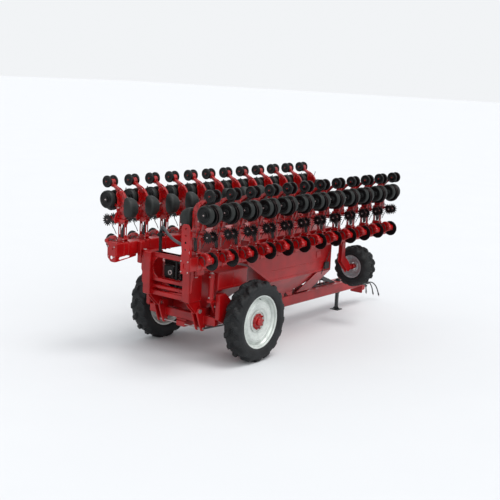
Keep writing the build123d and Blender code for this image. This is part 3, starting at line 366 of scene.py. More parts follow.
def turned(profile, axis, centre, sides=32, ring=False):
    """A profile of (radius, place along the axis) turned about an axis through the centre.

    Each point goes round a circle of its radius; a ring's profile closes on itself, and another
    profile is capped at both ends.
    """
    profile = np.array(profile, float)
    angle = np.linspace(0, 2 * math.pi, sides, endpoint=False)
    across, along = profile[:, 0][:, None], profile[:, 1][:, None]
    table = np.stack([across * np.cos(angle), across * np.sin(angle), along + 0 * angle], axis=-1)
    table = table[:, :, AXIS_ORDER[axis]] if axis != "z" else table
    table = table + np.array(centre, float)
    if ring:
        return outward(grid(table, wrap_rows=True, wrap_columns=True))
    return loft(list(table))


def drum(radius, low, high, axis, centre, chamfer=0.004, sides=24):
    """A round bar between two places along its axis, with its edges broken."""
    c = min(chamfer, radius * 0.4, (high - low) * 0.4)
    return turned([(radius - c, low), (radius, low + c), (radius, high - c), (radius - c, high)], axis,
        centre, sides)


def ring_drum(outer, inner, low, high, axis, centre, chamfer=0.003, sides=32):
    """A flat ring between two places along its axis, with its edges broken."""
    c = min(chamfer, (outer - inner) * 0.3, (high - low) * 0.4)
    profile = [
        (inner, low + c), (inner + c, low), (outer - c, low), (outer, low + c),
        (outer, high - c), (outer - c, high), (inner + c, high), (inner, high - c),
    ]
    return turned(profile, axis, centre, sides, ring=True)


def block(low, high, chamfer=0.006):
    """A bar between two corners with every edge broken: four rings of eight points, the outer two drawn in."""
    low, high = np.array(low, float), np.array(high, float)
    middle, half = (low + high) / 2, (high - low) / 2
    c = min(chamfer, half.min() * 0.6)

    def ring(inset, z):
        x, y = half[0] - inset, half[1] - inset
        corner = c * 0.7
        xs = [x, x, x - corner, -x + corner, -x, -x, -x + corner, x - corner]
        ys = [-y + corner, y - corner, y, y, y - corner, -y + corner, -y, -y]
        return np.stack([np.array(xs) + middle[0], np.array(ys) + middle[1], np.full(8, z)], axis=1)

    return loft([ring(c, low[2]), ring(0, low[2] + c), ring(0, high[2] - c), ring(c, high[2])])


def bar(start, end, width, height, chamfer=0.004, up=(0, 0, 1)):
    """A flat bar from start to end; width lies across the up direction and height along it."""
    start, end = np.array(start, float), np.array(end, float)
    along = end - start
    length = np.linalg.norm(along)
    along = along / length
    side = np.cross(np.array(up, float), along)
    side = side / np.linalg.norm(side)
    top = np.cross(along, side)
    verts, faces = block((-width / 2, -height / 2, 0), (width / 2, height / 2, length), chamfer)
    return outward((verts @ np.array([side, top, along]) + start, faces))


def plate(outlines, low, high, plane="yz", chamfer=0.005):
    """A plate cut to an outline, with holes for the further outlines and broken edges."""
    curve = bpy.data.curves.new("outline", "CURVE")
    curve.dimensions, curve.fill_mode = "2D", "BOTH"
    chamfer = min(chamfer, (high - low) * 0.4)
    curve.extrude, curve.bevel_depth = (high - low) / 2 - chamfer, chamfer
    curve.bevel_resolution, curve.offset = 0, -chamfer
    for outline in outlines:
        points = np.array(outline, float)
        spline = curve.splines.new("POLY")
        spline.points.add(len(points) - 1)
        flat = np.column_stack([points, np.zeros(len(points)), np.ones(len(points))])
        spline.points.foreach_set("co", flat.ravel().astype(np.float32))
        spline.use_cyclic_u = True
    holder = bpy.data.objects.new("outline", curve)
    mesh = bpy.data.meshes.new_from_object(holder)
    verts = np.zeros(len(mesh.vertices) * 3, np.float32)
    mesh.vertices.foreach_get("co", verts)
    verts = verts.reshape(-1, 3).astype(float)
    faces = [np.array(list(p.vertices)) for p in mesh.polygons]
    bpy.data.objects.remove(holder)
    bpy.data.curves.remove(curve)
    bpy.data.meshes.remove(mesh)
    keys, back = np.unique(np.round(verts, 6), axis=0, return_inverse=True)
    back = back.ravel()
    groups = {}
    for face in faces:
        face = back[face]
        if len(set(face.tolist())) == len(face):
            groups.setdefault(len(face), []).append(face)
    verts = keys + np.array([0, 0, (low + high) / 2])
    order = {"xy": [0, 1, 2], "yz": [2, 0, 1], "xz": [0, 2, 1]}[plane]
    return outward((verts[:, order], [np.array(group) for group in groups.values()]))


def disc_outline(centre, radius, count=16):
    """Points of a circle, as a hole or an edge."""
    angle = np.linspace(0, 2 * math.pi, count, endpoint=False)
    return np.column_stack([centre[0] + radius * np.cos(angle), centre[1] + radius * np.sin(angle)])


def slot_outline(a, b, radius, count=8):
    """A long outline with two round ends, from a to b."""
    a, b = np.array(a, float), np.array(b, float)
    lean = math.atan2(*(b - a)[::-1])
    turn = np.linspace(-math.pi / 2, math.pi / 2, count)
    far = np.column_stack([b[0] + radius * np.cos(lean + turn), b[1] + radius * np.sin(lean + turn)])
    near = np.column_stack([a[0] - radius * np.cos(lean + turn), a[1] - radius * np.sin(lean + turn)])
    return np.vstack([far, near])


def rounded(points, radius, count=5):
    """An outline with its corners rounded: each corner becomes a short run of its own quadratic curve."""
    points = np.array(points, float)
    before, after = np.roll(points, 1, axis=0), np.roll(points, -1, axis=0)
    back, on = before - points, after - points
    back_length = np.linalg.norm(back, axis=1, keepdims=True)
    on_length = np.linalg.norm(on, axis=1, keepdims=True)
    reach = np.minimum(radius, 0.45 * np.minimum(back_length, on_length))
    start, end = points + back / back_length * reach, points + on / on_length * reach
    t = np.linspace(0, 1, count)[None, :, None]
    curve = (1 - t) ** 2 * start[:, None] + 2 * t * (1 - t) * points[:, None] + t**2 * end[:, None]
    return curve.reshape(-1, 2)


def smooth_line(points, count=40):
    """Points of the quadratic spline that the given points control, from the first to the last."""
    points = np.array(points, float)
    middles = (points[:-1] + points[1:]) / 2
    ends = np.vstack([middles[1:-1], points[-1:]])
    starts = np.vstack([points[:1], middles[1:-1]])
    controls = points[1:-1]
    t = np.linspace(0, 1, max(3, count // len(controls)))[:-1][None, :, None]
    runs = (1 - t) ** 2 * starts[:, None] + 2 * t * (1 - t) * controls[:, None] + t**2 * ends[:, None]
    return np.vstack([runs.reshape(-1, 3), points[-1:]])


def tube(points, radius, sides=12):
    """A round tube along a line: each point carries a circle across the line's own direction there."""
    points = np.array(points, float)
    along = np.gradient(points, axis=0)
    along = along / np.linalg.norm(along, axis=1, keepdims=True)
    helper = np.array([0.0, 0.0, 1.0]) if abs(along[:, 2]).mean() < 0.8 else np.array([1.0, 0.0, 0.0])
    side = np.cross(along, helper)
    if np.linalg.norm(side, axis=1).min() < 0.01:
        # The line runs along the helper somewhere, so the axis that it follows least takes its place.
        side = np.cross(along, np.eye(3)[np.argmin(abs(along).max(axis=0))])
    side = side / np.linalg.norm(side, axis=1, keepdims=True)
    top = np.cross(along, side)
    angle = np.linspace(0, 2 * math.pi, sides, endpoint=False)[None, :, None]
    radius = np.broadcast_to(np.asarray(radius, float), (len(points),))[:, None, None]
    table = points[:, None] + radius * (np.cos(angle) * side[:, None] + np.sin(angle) * top[:, None])
    return loft(list(table))


def make_piece(name, body, groups, nodes=()):
    """Puts groups of (surface, finish) into one mesh, shifts it to the axle and hands it to its body."""
    verts, faces, start = [], [], 0
    marks = []
    mesh = bpy.data.meshes.new(name)
    for number, (piece, finish) in enumerate(groups):
        mesh.materials.append(FINISHES[finish])
        verts.append(piece[0])
        for block_of_faces in piece[1]:
            faces += (block_of_faces + start).tolist()
            marks += [number] * len(block_of_faces)
        start += len(piece[0])
    verts = np.vstack(verts) + np.array([0, AXLE_Y, 0])
    mesh.from_pydata(verts.tolist(), [], faces)
    mesh.polygons.foreach_set("material_index", np.array(marks, np.int32))
    mesh.shade_smooth()
    mesh.set_sharp_from_angle(angle=math.radians(32))
    mesh.validate()
    mesh.update()
    made = bpy.data.objects.new(name, mesh)
    bpy.context.scene.collection.objects.link(made)
    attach(made, body)
    if nodes:
        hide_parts(*nodes)
    return made


def both_wings(name, body, groups, node):
    """A right wing's piece and its mirror image on the left wing."""
    make_piece(f"{name}_right", f"{body}_right", groups, [f"{n}_right" for n in node])
    flipped = [(mirrored(piece), finish) for piece, finish in groups]
    make_piece(f"{name}_left", f"{body}_left", flipped, [f"{n}_left" for n in node])


# ---- wheels ---------------------------------------------------------------------------------------
def lugged_tyre(profile, axis, centre, lugs, height, skew, half_width, steps=14):
    """A tyre: its side profile of (radius, place across) goes round the axle, and lugs stand out of it.

    A lug's height is the product of three ramps, one round the tyre, one from the middle line and one
    down the shoulder. The two halves of the tread are half a lug apart, and skew turns each lug back.
    """
    profile = np.array(profile, float)
    angle = np.linspace(0, 2 * math.pi, lugs * steps, endpoint=False)
    radius, across = profile[:, 0][:, None], profile[:, 1][:, None]
    share = np.abs(across) / half_width
    phase = (lugs * angle / (2 * math.pi) + 0.5 * (across < 0) - skew * share) % 1.0
    round_ramp = np.clip((0.23 - np.abs(phase - 0.25)) / 0.05, 0, 1)
    middle_ramp = np.clip((share - 0.05) / 0.05, 0, 1)
    top = profile[:, 0].max()
    shoulder_ramp = np.clip((radius - (top - 2.6 * height)) / (1.2 * height), 0, 1)
    lift = height * round_ramp * middle_ramp * shoulder_ramp
    slope = np.clip((share - 0.72) / 0.28, 0, 1)
    outer = radius + lift * (1 - 0.55 * slope)
    table = np.stack([outer * np.cos(angle), outer * np.sin(angle), across * (1 + 0.0 * angle)], axis=-1)
    table = table[:, :, AXIS_ORDER[axis]] + np.array(centre, float)
    return outward(grid(table, wrap_rows=True, wrap_columns=True))


def hex_nuts(count, circle, radius, low, high, axis, centre):
    """Nuts on a bolt circle: six-sided bars with broken edges."""
    nuts = []
    for k in range(count):
        a = 2 * math.pi * k / count
        shift = np.zeros(3)
        first, second = {"x": (1, 2), "y": (2, 0), "z": (0, 1)}[axis]
        shift[first], shift[second] = circle * math.cos(a), circle * math.sin(a)
        nuts.append(drum(radius, low, high, axis, np.array(centre) + shift, 0.005, 6))
    return joined(*nuts)


def road_wheel_groups(sizes):
    """Right road wheel: tyre, stepped rim and red hub, about the axle."""
    c = (TYRE_X, 0, AXLE_Z)
    h, half = sizes.lug_height, TYRE_W / 2
    crown = TYRE_R - h - 0.004
    side = [
        (0.612, half - 0.062), (0.63, half - 0.04), (0.66, half - 0.018), (0.71, half - 0.002),
        (0.76, half),
        (0.81, half - 0.004), (crown - 0.06, half - 0.008), (crown - 0.028, half - 0.018),
        (crown - 0.008, half - 0.045),
        (crown, half - 0.085), (crown + 0.004, half * 0.4), (crown + 0.004, half * 0.16),
        (crown + 0.004, half * 0.05),
    ]
    inner = [(0.612, half - 0.1), (0.85, half - 0.05)]
    profile = side + [(r, -x) for r, x in reversed(side)] + [(r, -x) for r, x in inner] + [inner[1],
        inner[0]]
    tyre = lugged_tyre(profile, "x", c, sizes.tread_lugs, h, 0.55, half)
    bands = joined(*[
        ring_drum(r + 0.006, r - 0.006, half - 0.006 - 0.02 * (r < 0.68),
            half + 0.002 - 0.016 * (r < 0.68), "x", c, 0.003, 72)
        for r in (0.672, 0.79)
    ])
    rim = turned([
        (0.612, 0.16), (0.628, 0.168), (0.625, 0.18), (0.603, 0.182), (0.590, 0.170), (0.583, 0.125),
        (0.560, 0.105),
        (0.548, 0.070), (0.520, 0.082), (0.480, 0.112), (0.466, 0.118), (0.452, 0.112), (0.400, 0.118),
        (0.345, 0.108),
        (0.300, 0.084), (0.262, 0.078), (0.155, 0.078), (0.155, 0.056), (0.262, 0.056), (0.300, 0.064),
        (0.345, 0.086),
        (0.400, 0.096), (0.470, 0.094), (0.530, 0.050), (0.535, -0.110), (0.575, -0.150), (0.590, -0.178),
        (0.603, -0.182),
        (0.625, -0.180), (0.628, -0.168), (0.612, -0.160), (0.560, -0.100), (0.552, 0.060),
        (0.590, 0.110),
    ], "x", c, 96, ring=True)
    steps = joined(*[ring_drum(r + 0.008, r - 0.008, 0.1, x, "x", c, 0.004, 96) for r,
        x in ((0.245, 0.088), (0.43, 0.124), (0.335, 0.108))])
    valve = tube([(c[0] + 0.1, 0.0, AXLE_Z + 0.54), (c[0] + 0.15, 0.0, AXLE_Z + 0.525)], 0.008, 8)
    hub = turned([
        (0.05, -0.065), (0.145, -0.065), (0.15, -0.05), (0.15, 0.03), (0.225, 0.032), (0.23, 0.05),
        (0.225, 0.056),
        (0.15, 0.058), (0.15, 0.09), (0.135, 0.1), (0.105, 0.104), (0.098, 0.112), (0.093, 0.165),
        (0.08, 0.178), (0.03, 0.182),
    ], "x", c, 48)
    flange = turned([(0.15, 0.078), (0.178, 0.078), (0.182, 0.084), (0.178, 0.094), (0.15, 0.098)], "x",
        c, 60, ring=True)
    nuts = hex_nuts(10, 0.17, 0.024, 0.088, 0.122, "x", c)
    studs = joined(nuts, hex_nuts(10, 0.17, 0.012, 0.12, 0.138, "x", c))
    teeth = hex_nuts(6, 0.062, 0.014, 0.17, 0.188, "x", c)
    return [(tyre, "tyre_rubber"), (bands, "tyre_rubber")], [(joined(rim, steps), "rim_lacquer"),
        (valve, "chassis_black")], [
        (joined(hub, flange, studs, teeth), "cast_enamel"),
    ]


def make_road_wheels(sizes):
    tyre, rim, hub = road_wheel_groups(sizes)
    both_wings("road_tyre_dress", "road_wheel", tyre, ["road_tyre"])
    both_wings("road_rim_dress", "road_wheel", rim, ["road_rim"])
    both_wings("road_hub_dress", "road_wheel", hub, ["road_hub"])


def make_wing_wheels(sizes):
    c = (SUPPORT_X, SUPPORT_Y, SUPPORT_Z)
    h, half = 0.04, SUPPORT_W / 2
    crown = SUPPORT_R - h
    side = [
        (0.302, half - 0.042), (0.32, half - 0.02), (0.36, half - 0.004), (0.41, half),
        (crown - 0.06, half - 0.012),
        (crown - 0.03, half - 0.03), (crown - 0.01, half - 0.06), (crown, half - 0.1),
        (crown, half * 0.35), (crown, half * 0.12),
        (crown, half * 0.04),
    ]
    inner = [(0.302, half - 0.08), (0.46, half - 0.05)]
    profile = side + [(r, -y) for r, y in reversed(side)] + [(r, -y) for r, y in inner] + [inner[1],
        inner[0]]
    tyre = lugged_tyre(profile, "y", c, 15, h, 1.1, half)
    band = joined(*[ring_drum(0.385, 0.375, s * (half - 0.004) - 0.006, s * (half - 0.004) + 0.006, "y",
        c, 0.002, 60) for s in (-1, 1)])
    rim = turned([
        (0.302, -0.198), (0.31, -0.205), (0.305, -0.212), (0.285, -0.212), (0.272, -0.2), (0.262, -0.15),
        (0.248, -0.12),
        (0.215, -0.075), (0.15, -0.068), (0.13, -0.078), (0.09, -0.08), (0.09, -0.05), (0.15, -0.045),
        (0.23, -0.045),
        (0.262, -0.02), (0.268, 0.16), (0.285, 0.212), (0.305, 0.212), (0.31, 0.205), (0.302, 0.198),
        (0.282, 0.15), (0.28, -0.15),
    ], "y", c, 64, ring=True)
    nuts = hex_nuts(8, 0.12, 0.014, -0.096, -0.07, "y", c)
    hub = turned([(0.047, -0.18), (0.074, -0.18), (0.08, -0.172), (0.08, 0.165), (0.07, 0.178),
        (0.047, 0.178)], "y", c, 32, ring=True)
    cap = drum(0.062, 0.16, 0.182, "y", c, 0.008, 32)
    both_wings("wing_tyre_dress", "wing_wheel",
        [(tyre, "tyre_rubber"), (band, "tyre_rubber")], ["wing_wheel_tyre"])
    both_wings(
        "wing_rim_dress", "wing_wheel",
        [(rim, "zinc_steel"), (nuts, "bright_zinc"), (joined(hub, cap), "cast_enamel")],
        ["wing_wheel_rim"],
    )
    leg_x = (1.06, 1.18)
    top = 2.33
    outer = rounded([(4.06, 2.31), (4.21, 2.31), (4.215, 1.92), (4.49, 1.69), (4.49, 1.49), (4.39, 1.49),
        (4.05, 1.79)], 0.05)
    leg = [
        plate([outer], leg_x[0], leg_x[0] + 0.014), plate([outer], leg_x[1] - 0.014, leg_x[1]),
        bar((1.12, 4.075, 2.3), (1.12, 4.075, 1.8), 0.1, 0.02, 0.003, (0, 1, 0)),
        bar((1.12, 4.2, 2.3), (1.12, 4.2, 1.92), 0.1, 0.02, 0.003, (0, 1, 0)),
        bar((1.12, 4.2, 1.93), (1.12, 4.48, 1.69), 0.1, 0.02, 0.003, (1, 0, 0)),
        bar((1.12, 4.07, 1.79), (1.12, 4.4, 1.5), 0.1, 0.02, 0.003, (1, 0, 0)),
        block((0.97, 4.0, top - 0.022), (1.23, 4.26, top), 0.004),
        drum(0.045, 4.47, SUPPORT_Y - 0.18, "y", (SUPPORT_X, 0, SUPPORT_Z)),
        drum(0.09, 4.47, 4.5, "y", (SUPPORT_X, 0, SUPPORT_Z)),
        drum(0.045, SUPPORT_Y - 0.18, SUPPORT_Y + 0.15, "y", (SUPPORT_X, 0, SUPPORT_Z)),
    ]
    gussets = [plate([[(3.98, 2.31), (4.05, 2.31), (4.05, 2.19)]], x, x + 0.012, "yz",
        0.002) for x in (1.08, 1.148)]
    both_wings("wing_leg_dress", "wing", [(joined(*leg, *gussets), "gloss_enamel")],
        ["wing_wheel_leg"])


# ---- row units ------------------------------------------------------------------------------------
def pair(piece):
    """The piece and its mirror image on the row's other side."""
    return joined(piece, mirrored(piece, 1))


GAUGE = (1.46, 0, 3.57)
CLOSER = (1.53, 0, 3.97)
CLOSER_PIVOT = (1.15, 3.74)
OPENER = (1.475, 0, 3.535)
STAR = (1.5, 0, 3.095)
COULTER = (1.5, 0, 2.56)
METER = (0.86, 0, 3.4)


def make_gauge_wheels(sizes):
    tread = turned([
        (0.168, 0.07), (0.188, 0.07), (0.2, 0.078), (0.207, 0.095), (0.21, 0.125), (0.208, 0.155),
        (0.203, 0.178),
        (0.194, 0.196), (0.186, 0.2), (0.178, 0.198), (0.172, 0.19),
    ], "y", GAUGE, 40, ring=True)
    dish = turned([
        (0.172, 0.112), (0.174, 0.19), (0.166, 0.193), (0.158, 0.18), (0.15, 0.17), (0.118, 0.164),
        (0.11, 0.156),
        (0.075, 0.153), (0.068, 0.16), (0.058, 0.166), (0.058, 0.205), (0.05, 0.21), (0.018, 0.21),
        (0.018, 0.098),
        (0.055, 0.086), (0.06, 0.1), (0.11, 0.1), (0.168, 0.09),
    ], "y", GAUGE, 32, ring=True)
    bolt = drum(0.02, 0.2, 0.218, "y", GAUGE, 0.004, 6)
    both_wings(
        "gauge_wheel_dress", "gauges",
        [(at_rows(pair(tread)), "gauge_rubber"), (at_rows(pair(dish)), "moulded_nylon"),
        (at_rows(pair(bolt)), "bright_zinc")],
        ["gauge_wheels"],
    )


def make_closing_wheels(sizes):
    tyre = turned([
        (0.118, 0.074), (0.132, 0.075), (0.139, 0.083), (0.14, 0.1), (0.138, 0.115), (0.13, 0.125),
        (0.12, 0.127),
    ], "y", CLOSER, 32, ring=True)
    body = turned([
        (0.119, 0.08), (0.119, 0.121), (0.108, 0.119), (0.1, 0.112), (0.07, 0.108), (0.048, 0.114),
        (0.036, 0.13),
        (0.013, 0.131), (0.013, 0.068), (0.036, 0.069), (0.05, 0.086), (0.1, 0.09),
    ], "y", CLOSER, 24, ring=True)
    bolt = drum(0.016, 0.128, 0.142, "y", CLOSER, 0.004, 6)
    both_wings(
        "closing_wheel_dress", "closers",
        [(at_rows(pair(tyre)), "moulded_nylon"), (at_rows(pair(body)), "disc_steel"),
        (at_rows(pair(bolt)), "cast_enamel")],
        ["closing_wheels"],
    )


def make_opener_discs(sizes):
    disc = turned([
        (0.018, 0.026), (0.045, 0.0265), (0.05, 0.031), (0.16, 0.032), (0.2, 0.031), (0.2248, 0.033),
        (0.2, 0.036),
        (0.16, 0.038), (0.05, 0.037), (0.045, 0.0405), (0.018, 0.041),
    ], "y", OPENER, 40, ring=True)
    both_wings("opener_disc_dress", "openers", [(at_rows(pair(disc)), "disc_steel")],
        ["opener_discs"])


def make_star_wheels(sizes):
    """Row cleaner stars: each tooth leans over, so that its tip lies ahead of its root."""
    count = sizes.star_teeth
    tooth = np.arange(count)[:, None] * 2 * math.pi / count
    part = np.array([0.0, 0.16, 0.62, 0.8]) * 2 * math.pi / count
    reach = np.array([0.15, 0.142, 0.098, 0.1])
    lean = np.array([0.12, 0.12, 0.0, 0.0])
    angle = (tooth + part + lean).ravel()
    radius = np.tile(reach, count)
    edge = np.column_stack([STAR[0] + radius * np.cos(angle), STAR[2] + radius * np.sin(angle)])
    disc = plate([edge, disc_outline((STAR[0], STAR[2]), 0.0185)], 0.092, 0.108, "xz", 0.003)
    hub = ring_drum(0.045, 0.019, 0.088, 0.113, "y", STAR)
    both_wings("star_wheel_dress", "stars", [(at_rows(pair(joined(disc, hub))),
        "disc_steel")], ["star_wheels"])


def make_coulter_discs(sizes):
    """Wavy coulter discs: the blade's face rises and falls along its rim."""
    angle = np.linspace(0, 2 * math.pi, 60, endpoint=False)
    radius = np.array([0.018, 0.055, 0.12, 0.19, 0.2, 0.19, 0.12, 0.055, 0.018])[:, None]
    across = np.array([-0.009, -0.006, -0.0035, -0.0035, 0.0, 0.0035, 0.0035, 0.006, 0.009])[:, None]
    wave = 0.005 * np.sin(15 * angle) * np.clip((radius - 0.12) / 0.07, 0, 1)
    table = np.stack([radius * np.cos(angle), radius * np.sin(angle), 0.06 + across + wave], axis=-1)
    table = table[:, :, AXIS_ORDER["y"]] + np.array(COULTER)
    blade = outward(grid(table, wrap_rows=True, wrap_columns=True))
    hub = ring_drum(0.055, 0.019, 0.052, 0.07, "y", COULTER)
    both_wings("coulter_disc_dress", "coulters",
        [(at_rows(joined(blade, hub)), "disc_steel")], ["coulter_discs"])


def make_closing_arms(sizes):
    """Forks: a looped head at the axle, a waisted arm and a broad shoulder at the pivot."""
    p, h = np.array(CLOSER_PIVOT), np.array([CLOSER[0], CLOSER[2]])
    along = (h - p) / np.linalg.norm(h - p)
    side = np.array([-along[1], along[0]])

    def at(t, offset):
        return p + along * t + side * offset

    edge = [
        at(-0.035, 0.03), at(0.02, 0.05), at(0.12, 0.05), at(0.2, 0.028), at(0.32, 0.034), at(0.38, 0.06),
            at(0.46, 0.05),
        at(0.49, 0.0), at(0.46, -0.05), at(0.38, -0.05), at(0.32, -0.034), at(0.2, -0.028),
            at(0.12, -0.05), at(0.02, -0.045),
        at(-0.035, -0.03),
    ]
    arm = plate([rounded(edge, 0.03, 4), disc_outline(at(0.0, 0.0), 0.0205),
        disc_outline(at(0.09, 0.0), 0.02)], 0.028, 0.044, "xz", 0.004)
    web = plate([rounded([at(0.12, 0.03), at(0.34, 0.022), at(0.34, -0.022), at(0.12, -0.03)], 0.01)],
        -0.03, 0.03, "xz", 0.004)
    loop = at(0.385, 0.012)
    head = joined(drum(0.036, -0.05, 0.05, "y", CLOSER, 0.006, 24),
        ring_drum(0.088, 0.04, -0.055, 0.055, "y", (loop[0], 0, loop[1]), 0.014, 28))
    axle = drum(0.012, -0.133, 0.133, "y", CLOSER, 0.002, 12)
    knob_foot, knob_end = at(0.4, 0.04), at(0.42, 0.1)
    stem = bar((knob_foot[0], 0, knob_foot[1]), (knob_end[0], 0, knob_end[1]), 0.016, 0.016, 0.003,
        (0, 1, 0))
    knob = drum(0.024, -0.022, 0.022, "y", (knob_end[0], 0, knob_end[1]), 0.008, 12)
    both_wings(
        "closing_arm_dress", "closing_forks",
        [(at_rows(joined(pair(arm), web, head)), "cast_enamel"), (at_rows(axle), "bright_zinc"),
        (at_rows(joined(stem, knob)), "moulded_nylon")],
        ["closing_arms"],
    )


def make_links(sizes):
    """Parallel links: each is a pressed plate with a window and an eye at each end."""
    for name, x in (("upper", 1.01), ("lower", 1.19)):
        window = rounded([(-0.02, 2.79), (0.02, 2.79), (0.02, 2.97), (-0.02, 2.97)], 0.01)
        edge = rounded([(-0.045, 2.7), (0.045, 2.7), (0.04, 2.76), (0.04, 3.0), (0.045, 3.06),
            (-0.045, 3.06), (-0.04, 3.0), (-0.04, 2.76)], 0.008)
        face = plate([edge, window], x - 0.013, x + 0.013, "yz", 0.004)
        eyes = joined(*[ring_drum(0.024, 0.0142, -0.045, 0.045, "y", (x, 0, z), 0.003, 20) for z in (2.7,
            3.06)])
        spring = []
        if name == "lower":
            turns = np.linspace(0, 2 * math.pi * 7, 7 * 10)
            coil = np.column_stack([x + 0.03 + 0.014 * np.cos(turns), 0.014 * np.sin(turns),
                2.78 + 0.2 * turns / turns[-1]])
            spring = [(at_rows(tube(coil, 0.0035, 5)), "bright_zinc")]
        both_wings(f"{name}_link_dress", name, [(at_rows(joined(face, eyes)),
            "gloss_enamel")] + spring, [f"{name}_links"])


